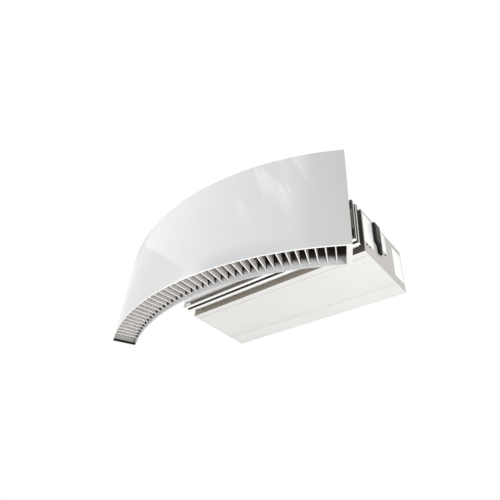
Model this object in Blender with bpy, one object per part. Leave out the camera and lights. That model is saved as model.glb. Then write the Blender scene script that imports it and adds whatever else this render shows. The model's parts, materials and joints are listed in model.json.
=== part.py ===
"""Air curtain for a revolving door: a flat fan unit with a duct and a curved discharge nozzle.

Metres, +Z up. The origin is the centre of the casing's top panel, which hangs from the ceiling.
+X runs along the casing's width, -Y points to the door and the curved fascia.
"""
import math

import bmesh
import bpy
from mathutils import Matrix, Vector

# Clearances and sheet thicknesses
GAP = 0.0003                # between pieces that touch
ARC_GAP = 0.0008            # between a flat-ended piece and a curved wall
CASE_SHEET = 0.0015
NOZZLE_SHEET = 0.002
PLATE_SHEET = 0.0015
CUT_SLACK = 0.010           # how far a cutting body stands out past what it cuts
SMALL_SIDES = 16            # facets of small, medium and large round pieces
MEDIUM_SIDES = 24
LARGE_SIDES = 32
WHEEL_SIDES = 40

# Casing
CASE_WIDTH = 1.500
CASE_DEPTH = 0.575
CASE_HEIGHT = 0.350
SIDE_LIP = 0.018
FRONT_STRIP = 0.048
REAR_STRIP = 0.140
HATCH_FRONT_SEAM = 0.002
HANGER_INSET_X = 0.060      # hanging points, from the casing's edges
HANGER_INSET_Y = 0.070
HANGER_HOLE_RADIUS = 0.0045
HANGER_THREAD_RADIUS = 0.004
HANGER_NUT = (0.040, 0.026, 0.008)

# Duct stub, flanges and duct
FLANGE_RISE = 0.018         # flange bottom above the casing's bottom
FLANGE_HEADROOM = 0.009     # flange top below the casing's top
FLANGE_PROFILE = 0.035
FLANGE_DEPTH = 0.024
FLANGE_SHEET = 0.002
NECK_LENGTH = 0.050         # casing front to the rear flange
GASKET_DEPTH = 0.024
GASKET_RECESS = 0.009
DUCT_SHEET = 0.0015
DUCT_TAPER = 0.026          # the duct's top comes down by this much at the nozzle
DUCT_OVERRUN = 0.020        # raw length past the nozzle's rear wall, before it is cut to the curve

# Curved nozzle
FASCIA_RADIUS = 1.860
FASCIA_HEADROOM = 0.056     # fascia's top edge below the casing's top
NOZZLE_REACH = 0.787        # casing front to the fascia's middle
OUTLET_DROP = 0.384         # outlet plane below the casing's bottom
OUTLET_WIDTH = 0.155
NOZZLE_OVERHANG = 0.187      # the fascia's ends stand out past the casing's sides
NOZZLE_TOP_RECESS = 0.008
ARC_STEPS = 40
END_CLOSURE = 0.028
SEAL_HEIGHT = 0.008

# Discharge fins
FIN_GROUPS = (12, 13, 12)
FIN_THICKNESS = 0.003
FIN_HEIGHT = 0.080
FIN_RECESS = 0.024
FIN_SIDE_GAP = 0.0015
RAIL_THICKNESS = 0.003
RAIL_HEIGHT = 0.012

# Service hatch, hinges and latches
STIFFENER_HEIGHT = 0.015
STIFFENER_INSET = 0.012     # from the side panel's lip
STIFFENER_ENDS = (0.006, 0.032)     # short of the panel's front and rear edges
KNUCKLE_RADIUS = 0.0032
PIN_RADIUS = 0.0015
PIN_CLEARANCE = 0.0003
PIN_OVERHANG = 0.001
HINGE_SPREAD = 0.900
HINGE_LENGTH = 0.060
HINGE_LEAF = 0.030
HINGE_LEAF_SHEET = 0.0012
HINGE_SETBACK = 0.0065      # the hatch's rear edge is this far in front of the hinge axis
HINGE_SEAM = 0.0018         # between the hatch and the rear strip
NECK_INNER = 0.0078         # the hinge's curved arm, which reaches round the rear strip's edge
NECK_THICKNESS = 0.0028
NECK_LINK = 0.0012          # half the width of the link from the arm to the knuckle
NECK_STEPS = 6
LATCH_SPREAD = 1.000
LATCH_INSET = 0.014
LATCH_HEAD_RADIUS = 0.0075
LATCH_COLLAR_RADIUS = 0.010
LATCH_CAM_LENGTH = 0.026
LATCH_CAM_WIDTH = 0.010
LATCH_COLLAR_SHEET = 0.0015
LATCH_CAM_SHEET = 0.0025
LATCH_SLOT = (0.0095, 0.0018, 0.0008)

# Fans
FAN_CENTRES_X = (-0.400, 0.200)
FAN_WIDTH = 0.260
FAN_Y = 0.020
FAN_TOP_CLEARANCE = 0.012
IMPELLER_SHARE = 2 / 7      # of the casing's height
BLADE_DEPTH = 0.018
BLADE_COUNT = 20
BLADE_THICKNESS = 0.0015
BLADE_LEAN = math.radians(28)
BLADE_INSET = 0.0015        # at its inner and outer edges
WHEEL_DISC = 0.002
IMPELLER_RING = 0.006
IMPELLER_SIDE_GAP = 0.007
CUTOFF_CLEARANCE = 0.008
SCROLL_GROWTH_SHARE = 0.42  # of the impeller's radius
SCROLL_TURN = math.radians(300)
SCROLL_STEPS = 28
SCROLL_SHEET = 0.0015
MOUTH_OVERCUT = 0.050
INLET_SHARE = 0.84
MOTOR_SHARE = 0.52
MOTOR_DISC_GAP = 0.010
SHAFT_RADIUS = 0.006
SHAFT_CLEARANCE = 0.0004
SHAFT_DEPTH = 0.040
SHAFT_END_GAP = 0.002
HUB_RADIUS = 0.016
HUB_LENGTH = 0.012
BRACKET_THICKNESS = 0.004
BRACKET_WIDTH = 0.014
BRACKET_COUNT = 3
BRACKET_REACH = 0.018       # past the fan's inlet
BRACKET_ROOT = 0.6          # share of the motor's radius where an arm starts
DECK_FLOOR_GAP = 0.025
DECK_FROM_FRONT = 0.115

# Electric heater
HEATER_DEPTH = 0.060
HEATER_FROM_FRONT = 0.030
HEATER_MARGIN = 0.004       # frame inside the casing front's opening level
HEATER_SHEET = 0.002
HEATER_ROD_RADIUS = 0.004
HEATER_ROD_COUNT = 4
HEATER_BEND_RADIUS = 0.014
HEATER_BEND_STEPS = 8
HEATER_ROD_SIDES = 10
HEATER_BEND_GAP = 0.004

# Intake side
INTAKE_MARGIN_X = 0.070
INTAKE_MARGIN_Z = 0.042
GRILLE_SHEET = 0.008
GRILLE_RIM = 0.018
SLAT_COUNT = 9
SLAT_HEIGHT = 0.003
SLAT_INSET = 0.001
SLAT_ROOT = 0.002           # how far a slat runs into the grille's rim
FILTER_FRAME = (0.010, 0.006)       # outside and inside the intake's edge
FILTER_DEPTH = 0.022
FILTER_MARGIN = 0.002
FILTER_PLEATS = 44
FILTER_MEDIA_THICKNESS = 0.003

# Controls at the right end of the casing
TRAY_X = 0.600
TRAY_FLANGE = 0.030
TRAY_Y = (-0.140, 0.200)
TRAY_FLOOR_GAP = 0.050
TRAY_ROOF_GAP = 0.050
BOARD_STANDOFF = 0.012
BOARD_SHEET = 0.0016
BOARD_INSET = 0.020
BOARD_LENGTH = 0.180
BOARD_LIFT = 0.040          # above the tray's lower edge
PART_ROWS = 2
PART_COLUMNS = 3
PART_PITCH = 0.055
PART_START = (0.030, 0.050)
PART_SIZES = (0.012, 0.016, 0.020)
PART_LIFT = 0.004
POST_INSET = 0.010
POST_RADIUS = 0.003
POST_SIDES = 12
TERMINAL_WAYS = 8
TERMINAL_PITCH = 0.012
TERMINAL_RIB = 0.009        # height of a way's raised part
TERMINAL_DEPTHS = (0.026, 0.018)
TERMINAL_Y = (0.060, 0.040)         # from the tray's rear edge, and length
TERMINAL_LIFT = 0.050

# Pieces on the casing's right side: start from the casing's front, length, low edge above the
# casing's bottom, high edge below its top
PLATE_FRONT = (0.013, 0.120, 0.088, 0.027)
PLATE_MIDDLE = (0.236, 0.090, 0.172, 0.020)
PLATE_REAR = (0.428, 0.134, 0.066, 0.044)
CONNECTION = (0.146, 0.084, 0.098, 0.012)
CONNECTION_DEPTH = 0.018
CONNECTION_TAIL = 0.070
CONNECTION_CORNER = 0.008
CONNECTION_SHARES = (0.45, 0.90, 0.25, 0.42)    # tail's near and far edge, step and neck, of the length
LID_MARGIN = (0.012, 0.010, 0.012, 0.014)    # near, far, low and high edges
LID_SHEET = 0.003
LID_CORNER = 0.008
PLATE_CORNER = 0.006

# Levels and places that follow from the sizes above
HALF_W = CASE_WIDTH / 2
FRONT_Y = -CASE_DEPTH / 2
BACK_Y = CASE_DEPTH / 2
BOTTOM_Z = -CASE_HEIGHT
WALL_LOW = BOTTOM_Z + CASE_SHEET + GAP
WALL_HIGH = -CASE_SHEET - GAP
ARC_Y = FRONT_Y - NOZZLE_REACH + FASCIA_RADIUS
OUTLET_Z = BOTTOM_Z - OUTLET_DROP
FASCIA_TOP = -FASCIA_HEADROOM
REAR_RADIUS = FASCIA_RADIUS - OUTLET_WIDTH
NOZZLE_HALF_ANGLE = math.asin((HALF_W + NOZZLE_OVERHANG) / FASCIA_RADIUS)
FASCIA_INNER = FASCIA_RADIUS - NOZZLE_SHEET
OPEN_HALF_W = HALF_W - FLANGE_PROFILE
OPEN_LOW = BOTTOM_Z + FLANGE_RISE + FLANGE_PROFILE
OPEN_HIGH = -FLANGE_HEADROOM - FLANGE_PROFILE
REAR_FLANGE_Y = FRONT_Y - NECK_LENGTH
FRONT_FLANGE_Y = REAR_FLANGE_Y - FLANGE_DEPTH - GASKET_DEPTH
NOZZLE_TOP_Z = FASCIA_TOP - NOZZLE_TOP_RECESS
HINGE_RISE = CASE_SHEET + GAP + KNUCKLE_RADIUS + GAP
HATCH_FRONT_Y = FRONT_Y + FRONT_STRIP + HATCH_FRONT_SEAM
HATCH_REAR_Y = BACK_Y - REAR_STRIP - HINGE_SEAM
HINGE_Y = HATCH_REAR_Y + HINGE_SETBACK
HINGE_Z = BOTTOM_Z + HINGE_RISE
DECK_Y = FRONT_Y + DECK_FROM_FRONT
IMPELLER_RADIUS = IMPELLER_SHARE * CASE_HEIGHT
INLET_RADIUS = INLET_SHARE * IMPELLER_RADIUS
MOTOR_RADIUS = MOTOR_SHARE * IMPELLER_RADIUS
SCROLL_GROWTH = SCROLL_GROWTH_SHARE * IMPELLER_RADIUS
SCROLL_BASE_RADIUS = IMPELLER_RADIUS + CUTOFF_CLEARANCE
SCROLL_TOP_RADIUS = SCROLL_BASE_RADIUS + SCROLL_GROWTH
FAN_Z = WALL_HIGH - CASE_SHEET - FAN_TOP_CLEARANCE - SCROLL_TOP_RADIUS - SCROLL_SHEET
CUTOFF_ANGLE = math.radians(150)
FIN_COUNT = sum(FIN_GROUPS)
CLOSURE_ANGLE = END_CLOSURE / (FASCIA_RADIUS - OUTLET_WIDTH / 2)
FIN_PITCH = 2 * (NOZZLE_HALF_ANGLE - CLOSURE_ANGLE) / (FIN_COUNT + 1)

MATERIALS = {
    "white_sheet": ((0.86, 0.86, 0.84), 0.35, 0.0),
    "grey_sheet": ((0.66, 0.66, 0.65), 0.40, 0.0),
    "polished_fascia": ((0.74, 0.76, 0.77), 0.15, 0.6),
    "galvanised": ((0.60, 0.61, 0.62), 0.35, 0.9),
    "aluminium": ((0.62, 0.59, 0.56), 0.40, 0.9),
    "black_plastic": ((0.03, 0.03, 0.03), 0.45, 0.0),
    "grey_plastic": ((0.20, 0.21, 0.22), 0.45, 0.0),
    "black_rubber": ((0.02, 0.02, 0.02), 0.80, 0.0),
    "steel": ((0.55, 0.55, 0.56), 0.30, 1.0),
    "heater_steel": ((0.25, 0.23, 0.22), 0.45, 1.0),
    "motor_paint": ((0.10, 0.11, 0.12), 0.40, 0.2),
    "filter_fabric": ((0.80, 0.82, 0.80), 0.90, 0.0),
    "circuit_board": ((0.05, 0.25, 0.12), 0.50, 0.0),
}


def clear_scene():
    for old in list(bpy.data.objects):
        bpy.data.objects.remove(old, do_unlink=True)


def make_material(name):
    material = bpy.data.materials.get(name)
    if material:
        return material
    colour, roughness, metallic = MATERIALS[name]
    material = bpy.data.materials.new(name)
    material.use_nodes = True
    shader = material.node_tree.nodes["Principled BSDF"]
    shader.inputs["Base Color"].default_value = (*colour, 1.0)
    shader.inputs["Roughness"].default_value = roughness
    shader.inputs["Metallic"].default_value = metallic
    material.diffuse_color = (*colour, 1.0)
    return material


def add_solid(name, verts, faces, material, smooth=False):
    """A closed body from world-space points; its faces are turned to point out."""
    mesh = bpy.data.meshes.new(name)
    mesh.from_pydata([tuple(v) for v in verts], [], faces)
    work = bmesh.new()
    work.from_mesh(mesh)
    bmesh.ops.recalc_face_normals(work, faces=work.faces)
    work.to_mesh(mesh)
    work.free()
    if smooth:
        mesh.shade_smooth()
        mesh.set_sharp_from_angle(angle=math.radians(35))
    mesh.materials.append(make_material(material))
    solid = bpy.data.objects.new(name, mesh)
    bpy.context.scene.collection.objects.link(solid)
    return solid


def loft(name, loops, material, smooth=False, closed=False):
    """Joins equal loops of points one after another; the ends are capped unless closed."""
    count = len(loops[0])
    verts = [point for loop in loops for point in loop]
    faces = []
    spans = len(loops) if closed else len(loops) - 1
    for i in range(spans):
        j = (i + 1) % len(loops)
        for k in range(count):
            m = (k + 1) % count
            faces.append((i * count + k, i * count + m, j * count + m, j * count + k))
    if not closed:
        faces.append(tuple(range(count)))
        faces.append(tuple((len(loops) - 1) * count + k for k in range(count)))
    return add_solid(name, verts, faces, material, smooth)


def prism(name, outline, axis, low, high, material, smooth=False):
    """An outline in the two other axes, in X, Y, Z order, extruded along the axis."""
    order = {"x": lambda a, b, c: (c, a, b), "y": lambda a, b, c: (a, c, b), "z": lambda a, b, c: (a, b, c)}
    place = order[axis]
    loops = [[place(a, b, level) for a, b in outline] for level in (low, high)]
    return loft(name, loops, material, smooth)


def block(name, x, y, z, material):
    outline = [(x[0], y[0]), (x[1], y[0]), (x[1], y[1]), (x[0], y[1])]
    return prism(name, outline, "z", z[0], z[1], material)


def cylinder(name, centre, radius, low, high, material, axis="x", sides=MEDIUM_SIDES):
    outline = [(centre[0] + radius * math.cos(turn), centre[1] + radius * math.sin(turn))
               for turn in (2 * math.pi * i / sides for i in range(sides))]
    return prism(name, outline, axis, low, high, material, smooth=True)


def rounded_outline(low, high, radius, steps=4):
    """A rectangle from the low to the high corner with rounded corners."""
    centres = [(high[0] - radius, high[1] - radius, 0), (low[0] + radius, high[1] - radius, 90),
               (low[0] + radius, low[1] + radius, 180), (high[0] - radius, low[1] + radius, 270)]
    points = []
    for cx, cy, start in centres:
        for i in range(steps + 1):
            turn = math.radians(start + 90 * i / steps)
            points.append((cx + radius * math.cos(turn), cy + radius * math.sin(turn)))
    return points


def rectangle_ring(half_width, low, high, y):
    return [(-half_width, y, low), (half_width, y, low), (half_width, y, high), (-half_width, y, high)]


def frame_sweep(name, rings, material):
    """A closed rectangular frame: each ring is (half width, low z, high z, y)."""
    return loft(name, [rectangle_ring(*ring) for ring in rings], material, closed=True)


def arc_point(radius, angle, z):
    return (radius * math.sin(angle), ARC_Y - radius * math.cos(angle), z)


def arc_angles(half_angle, steps=ARC_STEPS):
    return [-half_angle + 2 * half_angle * i / steps for i in range(steps + 1)]


def arc_wall(name, inner, outer, low, high, angles, material):
    """A curved wall about the nozzle's vertical axis."""
    loops = [[arc_point(inner, a, low), arc_point(outer, a, low), arc_point(outer, a, high),
              arc_point(inner, a, high)] for a in angles]
    return loft(name, loops, material, smooth=True)


def combine(target, tool, operation):
    """Applies an exact Boolean to the target and takes the tool away."""
    step = target.modifiers.new(operation, "BOOLEAN")
    step.operation = operation
    step.solver = "EXACT"
    step.object = tool
    graph = bpy.context.evaluated_depsgraph_get()
    result = bpy.data.meshes.new_from_object(target.evaluated_get(graph))
    target.modifiers.clear()
    old = target.data
    target.data = result
    bpy.data.meshes.remove(old)
    bpy.data.objects.remove(tool, do_unlink=True)
    result.name = target.name


def fuse(target, tools):
    for tool in tools:
        combine(target, tool, "UNION")
    return target


def carve(target, tools):
    for tool in tools:
        combine(target, tool, "DIFFERENCE")
    return target


def set_origin(solid, point):
    """Moves the object's origin to a point and leaves its shape where it is."""
    shift = Vector(point)
    solid.data.transform(Matrix.Translation(-shift))
    solid.location = shift


def build_casing():
    top = block("casing_top", (-HALF_W, HALF_W), (FRONT_Y, BACK_Y), (-CASE_SHEET, 0.0), "white_sheet")
    holes = []
    hanger = 0
    for x in (-HALF_W + HANGER_INSET_X, HALF_W - HANGER_INSET_X):
        for y in (FRONT_Y + HANGER_INSET_Y, BACK_Y - HANGER_INSET_Y):
            hanger += 1
            holes.append(cylinder("hole", (x, y), HANGER_HOLE_RADIUS, -CUT_SLACK, CUT_SLACK, "steel", "z",
                                  SMALL_SIDES))
            build_hanger_nut(hanger, x, y)
    carve(top, holes)
    for side, name in ((-1, "casing_left_side"), (1, "casing_right_side")):
        outer = side * HALF_W
        inner = side * (HALF_W - CASE_SHEET)
        lip = side * (HALF_W - SIDE_LIP)
        outline = [(outer, WALL_LOW), (outer, WALL_HIGH), (lip, WALL_HIGH), (lip, WALL_HIGH - CASE_SHEET),
                   (inner, WALL_HIGH - CASE_SHEET), (inner, WALL_LOW + CASE_SHEET),
                   (lip, WALL_LOW + CASE_SHEET), (lip, WALL_LOW)]
        low_y = FRONT_Y + CASE_SHEET + GAP
        prism(name, outline, "y", low_y, -low_y, "grey_sheet")
    wall = (HALF_W, WALL_LOW, WALL_HIGH)
    inside = (OPEN_HALF_W - GAP - DUCT_SHEET, OPEN_LOW + GAP + DUCT_SHEET, OPEN_HIGH - GAP - DUCT_SHEET)
    frame_sweep("casing_front", [(*wall, FRONT_Y), (*wall, FRONT_Y + CASE_SHEET),
                                 (*inside, FRONT_Y + CASE_SHEET), (*inside, FRONT_Y)], "grey_sheet")
    intake = (HALF_W - INTAKE_MARGIN_X, BOTTOM_Z + INTAKE_MARGIN_Z, -INTAKE_MARGIN_Z)
    frame_sweep("casing_back", [(*wall, BACK_Y - CASE_SHEET), (*wall, BACK_Y),
                                (*intake, BACK_Y), (*intake, BACK_Y - CASE_SHEET)], "grey_sheet")
    floor = (BOTTOM_Z, BOTTOM_Z + CASE_SHEET)
    block("bottom_front_strip", (-HALF_W, HALF_W), (FRONT_Y, FRONT_Y + FRONT_STRIP), floor, "white_sheet")
    block("bottom_rear_strip", (-HALF_W, HALF_W), (BACK_Y - REAR_STRIP, BACK_Y), floor, "white_sheet")


def build_hanger_nut(number, x, y):
    """A threaded plate under the top panel; the ceiling rod screws into it."""
    size_x, size_y, thickness = HANGER_NUT
    low = -CASE_SHEET - GAP
    nut = block(f"hanger_nut_{number}", (x - size_x / 2, x + size_x / 2),
                (y - size_y / 2, y + size_y / 2), (low - thickness, low), "steel")
    hole = cylinder("hole", (x, y), HANGER_THREAD_RADIUS, low - thickness - CUT_SLACK, CUT_SLACK, "steel",
                    "z", SMALL_SIDES)
    carve(nut, [hole])


def build_hatch():
    panel = block("hatch_panel", (-HALF_W, HALF_W), (HATCH_FRONT_Y, HATCH_REAR_Y),
                  (BOTTOM_Z, BOTTOM_Z + CASE_SHEET), "white_sheet")
    latch_y = HATCH_FRONT_Y + LATCH_INSET
    holes = [cylinder("hole", (side * LATCH_SPREAD / 2, latch_y), LATCH_HEAD_RADIUS + GAP,
                      BOTTOM_Z - CUT_SLACK, BOTTOM_Z + CUT_SLACK, "steel", "z") for side in (-1, 1)]
    carve(panel, holes)
    inner_z = BOTTOM_Z + CASE_SHEET + GAP
    for side, name in ((-1, "hatch_stiffener_left"), (1, "hatch_stiffener_right")):
        web = side * (HALF_W - SIDE_LIP - STIFFENER_INSET)
        outline = [(web, inner_z), (web, inner_z + STIFFENER_HEIGHT),
                   (web - side * CASE_SHEET, inner_z + STIFFENER_HEIGHT),
                   (web - side * CASE_SHEET, inner_z + CASE_SHEET),
                   (web - side * STIFFENER_HEIGHT, inner_z + CASE_SHEET),
                   (web - side * STIFFENER_HEIGHT, inner_z)]
        prism(name, outline, "y", HATCH_FRONT_Y + STIFFENER_ENDS[0], HATCH_REAR_Y - STIFFENER_ENDS[1],
              "galvanised")
    for side, name in ((-1, "left"), (1, "right")):
        build_hinge(name, side * HINGE_SPREAD / 2)
        build_latch(f"hatch_latch_{name}", side * LATCH_SPREAD / 2, latch_y)
    set_origin(panel, (0.0, HINGE_Y, HINGE_Z))


def knuckle(name, radius, low, high):
    return cylinder(name, (HINGE_Y, HINGE_Z), radius, low, high, "steel", "x", SMALL_SIDES)


def hinge_arm(span):
    """The curved arm that keeps clear of the rear strip's edge while the hatch swings down."""
    def arc(radius, first, last):
        turns = (math.radians(first + (last - first) * i / NECK_STEPS) for i in range(NECK_STEPS + 1))
        return [(radius * math.cos(turn), radius * math.sin(turn)) for turn in turns]
    outer = NECK_INNER + NECK_THICKNESS
    foot = BOTTOM_Z + CASE_SHEET + GAP + HINGE_LEAF_SHEET / 2 - HINGE_Z
    link_low = (PIN_RADIUS + KNUCKLE_RADIUS) / 2
    link_turn = math.degrees(math.acos(-NECK_LINK / NECK_INNER))
    outline = [(NECK_LINK, outer)] + arc(outer, 90, 180) + [(-outer, foot), (-NECK_INNER, foot)]
    outline += arc(NECK_INNER, 180, link_turn) + [(-NECK_LINK, link_low), (NECK_LINK, link_low)]
    return prism("arm", [(HINGE_Y + y, HINGE_Z + z) for y, z in outline], "x", *span, "steel")


def build_hinge(name, x):
    """A concealed hinge: a leaf on the rear strip, a leaf with a curved arm on the hatch, and a pin."""
    third = HINGE_LENGTH / 3
    start = x - HINGE_LENGTH / 2
    leaf_z = (BOTTOM_Z + CASE_SHEET + GAP, BOTTOM_Z + CASE_SHEET + GAP + HINGE_LEAF_SHEET)
    tab_y = (HINGE_Y + PIN_RADIUS / 2, HINGE_Y + 2 * KNUCKLE_RADIUS)
    barrels = [(start, start + third), (start + 2 * third, start + 3 * third)]

    fixed = block(f"hinge_leaf_fixed_{name}", (start, start + HINGE_LENGTH),
                  (HINGE_Y + KNUCKLE_RADIUS + 3 * GAP, HINGE_Y + HINGE_LEAF), leaf_z, "steel")
    fuse(fixed, [block("tab", span, tab_y, leaf_z, "steel") for span in barrels]
         + [knuckle("barrel", KNUCKLE_RADIUS, *span) for span in barrels])
    moving = block(f"hinge_leaf_hatch_{name}", (start, start + HINGE_LENGTH),
                   (HINGE_Y - HINGE_LEAF, HINGE_Y - NECK_INNER + GAP), leaf_z, "steel")
    middle = (start + third + GAP, start + 2 * third - GAP)
    fuse(moving, [hinge_arm(middle), knuckle("barrel", KNUCKLE_RADIUS, *middle)])
    for leaf in (fixed, moving):
        carve(leaf, [knuckle("bore", PIN_RADIUS + PIN_CLEARANCE, start - CUT_SLACK,
                             start + HINGE_LENGTH + CUT_SLACK)])
    knuckle(f"hinge_pin_{name}", PIN_RADIUS, start - PIN_OVERHANG, start + HINGE_LENGTH + PIN_OVERHANG)


def build_latch(name, x, y):
    """A quarter-turn latch: a flush slotted head, a collar above the panel and a cam."""
    panel_top = BOTTOM_Z + CASE_SHEET
    collar_z = (panel_top + GAP, panel_top + GAP + LATCH_COLLAR_SHEET)
    cam_z = (collar_z[1] - GAP, collar_z[1] + LATCH_CAM_SHEET)
    head = cylinder(name, (x, y), LATCH_HEAD_RADIUS, BOTTOM_Z, collar_z[0] + GAP, "white_sheet", "z")
    collar = cylinder("collar", (x, y), LATCH_COLLAR_RADIUS, *collar_z, "white_sheet", "z")
    cam = block("cam", (x, x + LATCH_CAM_LENGTH), (y - LATCH_CAM_WIDTH / 2, y + LATCH_CAM_WIDTH / 2),
                cam_z, "white_sheet")
    fuse(head, [collar, cam])
    length, width, depth = LATCH_SLOT
    slot = block("slot", (x - length / 2, x + length / 2), (y - width / 2, y + width / 2),
                 (BOTTOM_Z - CUT_SLACK, BOTTOM_Z + depth), "white_sheet")
    carve(head, [slot])
    set_origin(head, (x, y, BOTTOM_Z))


def flange_rings(y):
    """A hollow slide-on profile, open towards the duct, from y back to y + its depth."""
    def ring(out, depth):
        return (OPEN_HALF_W + out, OPEN_LOW - out, OPEN_HIGH + out, y + depth)
    outer = FLANGE_PROFILE
    skin = FLANGE_PROFILE - FLANGE_SHEET
    end = FLANGE_DEPTH
    return [ring(0, 0), ring(outer, 0), ring(outer, end), ring(0, end), ring(0, end - FLANGE_SHEET),
            ring(skin, end - FLANGE_SHEET), ring(skin, FLANGE_SHEET), ring(0, FLANGE_SHEET)]


def build_duct():
    out = (OPEN_HALF_W - GAP, OPEN_LOW + GAP, OPEN_HIGH - GAP)
    inn = (out[0] - DUCT_SHEET, out[1] + DUCT_SHEET, out[2] - DUCT_SHEET)
    neck_front = REAR_FLANGE_Y - FLANGE_DEPTH
    frame_sweep("neck", [(*out, FRONT_Y - GAP), (*out, neck_front), (*inn, neck_front),
                         (*inn, FRONT_Y - GAP)], "galvanised")
    frame_sweep("rear_flange", flange_rings(neck_front), "galvanised")
    frame_sweep("front_flange", flange_rings(FRONT_FLANGE_Y - FLANGE_DEPTH), "galvanised")
    gasket_out = FLANGE_PROFILE - GASKET_RECESS
    gasket = [(OPEN_HALF_W, OPEN_LOW, OPEN_HIGH),
              (OPEN_HALF_W + gasket_out, OPEN_LOW - gasket_out, OPEN_HIGH + gasket_out)]
    ends = (FRONT_FLANGE_Y + GAP, neck_front - GAP)
    frame_sweep("flange_gasket", [(*gasket[0], ends[0]), (*gasket[1], ends[0]), (*gasket[1], ends[1]),
                                  (*gasket[0], ends[1])], "black_rubber")
    far_y = ARC_Y - REAR_RADIUS - DUCT_OVERRUN
    far_out = (out[0], out[1], out[2] - DUCT_TAPER)
    far_inn = (inn[0], inn[1], inn[2] - DUCT_TAPER)
    duct = frame_sweep("duct", [(*out, FRONT_FLANGE_Y), (*out, FRONT_FLANGE_Y - FLANGE_DEPTH),
                                (*far_out, far_y), (*far_inn, far_y),
                                (*inn, FRONT_FLANGE_Y - FLANGE_DEPTH), (*inn, FRONT_FLANGE_Y)],
                       "galvanised")
    keep_radius = REAR_RADIUS - NOZZLE_SHEET - GAP
    angles = arc_angles(NOZZLE_HALF_ANGLE)
    outline = [arc_point(keep_radius, a, 0)[:2] for a in angles] + [(HALF_W, BACK_Y), (-HALF_W, BACK_Y)]
    combine(duct, prism("keep", outline, "z", OUTLET_Z, 0.0, "galvanised"), "INTERSECT")


def radial_prism(name, angle, outline, inner, outer, material):
    """An outline in (sideways, z) at an angle of the arc, extruded along the radius."""
    along = Vector((math.sin(angle), -math.cos(angle), 0))
    side = Vector((math.cos(angle), math.sin(angle), 0))
    axis = Vector((0, ARC_Y, 0))
    loops = [[axis + along * radius + side * s + Vector((0, 0, z)) for s, z in outline]
             for radius in (inner, outer)]
    return loft(name, loops, material)


def build_nozzle():
    angles = arc_angles(NOZZLE_HALF_ANGLE)
    arc_wall("fascia", FASCIA_INNER, FASCIA_RADIUS, OUTLET_Z, FASCIA_TOP, angles, "polished_fascia")
    rear = arc_wall("nozzle_rear_wall", REAR_RADIUS - NOZZLE_SHEET, REAR_RADIUS, OUTLET_Z,
                    NOZZLE_TOP_Z, angles, "galvanised")
    window_high = OPEN_HIGH - GAP - DUCT_SHEET - DUCT_TAPER
    window = block("window", (-OPEN_HALF_W + GAP + DUCT_SHEET, OPEN_HALF_W - GAP - DUCT_SHEET),
                   (ARC_Y - FASCIA_RADIUS, FRONT_FLANGE_Y), (OPEN_LOW + GAP + DUCT_SHEET, window_high),
                   "galvanised")
    carve(rear, [window])
    inner = REAR_RADIUS + ARC_GAP
    outer = FASCIA_INNER - ARC_GAP
    inset = (NOZZLE_SHEET + 2 * GAP) / inner
    arc_wall("nozzle_top", inner, outer, NOZZLE_TOP_Z - NOZZLE_SHEET, NOZZLE_TOP_Z,
             arc_angles(NOZZLE_HALF_ANGLE - inset), "galvanised")
    t = NOZZLE_SHEET
    low = OUTLET_Z
    right = [(0, low), (0, NOZZLE_TOP_Z), (-t, NOZZLE_TOP_Z), (-t, low + t), (-END_CLOSURE, low + t),
             (-END_CLOSURE, low)]
    radial_prism("nozzle_end_right", NOZZLE_HALF_ANGLE, right, inner, outer, "white_sheet")
    left = [(0, low), (0, NOZZLE_TOP_Z), (t, NOZZLE_TOP_Z), (t, low)]
    radial_prism("nozzle_end_left", -NOZZLE_HALF_ANGLE, left, inner, outer, "white_sheet")
    seal = [(t + GAP, low + GAP), (t + GAP, low + SEAL_HEIGHT), (END_CLOSURE, low + SEAL_HEIGHT),
            (END_CLOSURE, low + GAP)]
    radial_prism("outlet_end_seal", -NOZZLE_HALF_ANGLE, seal, inner, outer, "black_rubber")


def build_fins():
    """Fixed radial fins in removable cassettes, each tied together by a curved rail."""
    first = 0
    bottom = OUTLET_Z + FIN_RECESS
    top = bottom + FIN_HEIGHT
    inner = REAR_RADIUS + FIN_SIDE_GAP
    outer = FASCIA_INNER - FIN_SIDE_GAP
    start = -FIN_PITCH * (FIN_COUNT - 1) / 2
    half = FIN_THICKNESS / 2
    trim = GAP / FASCIA_RADIUS
    rail_radius = (inner + outer - RAIL_THICKNESS) / 2
    for number, count in enumerate(FIN_GROUPS, 1):
        fin_angles = [start + FIN_PITCH * (first + i) for i in range(count)]
        edges = (fin_angles[0] - FIN_PITCH / 2 + trim, fin_angles[-1] + FIN_PITCH / 2 - trim)
        rail = arc_wall(f"fin_cassette_{number}", rail_radius, rail_radius + RAIL_THICKNESS,
                        top - RAIL_HEIGHT, top + GAP, [edges[0], *fin_angles, edges[1]], "aluminium")
        outline = [(-half, bottom), (half, bottom), (half, top), (-half, top)]
        fuse(rail, [radial_prism("fin", a, outline, inner, outer, "aluminium") for a in fin_angles])
        first += count


def scroll_outline(offset):
    """The spiral side view of a fan housing in (y, z), offset outwards by the given amount."""
    points = []
    for i in range(SCROLL_STEPS + 1):
        share = i / SCROLL_STEPS
        angle = CUTOFF_ANGLE + SCROLL_TURN * share
        radius = SCROLL_BASE_RADIUS + SCROLL_GROWTH * share + offset
        points.append((FAN_Y + radius * math.cos(angle), FAN_Z + radius * math.sin(angle)))
    mouth = DECK_Y + CASE_SHEET + GAP
    if offset == 0:
        mouth -= MOUTH_OVERCUT
    points.append((mouth, points[-1][1]))
    points.append((mouth, FAN_Z + SCROLL_BASE_RADIUS * math.sin(CUTOFF_ANGLE) - offset))
    points[0] = (points[0][0], points[-1][1])
    return points


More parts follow.
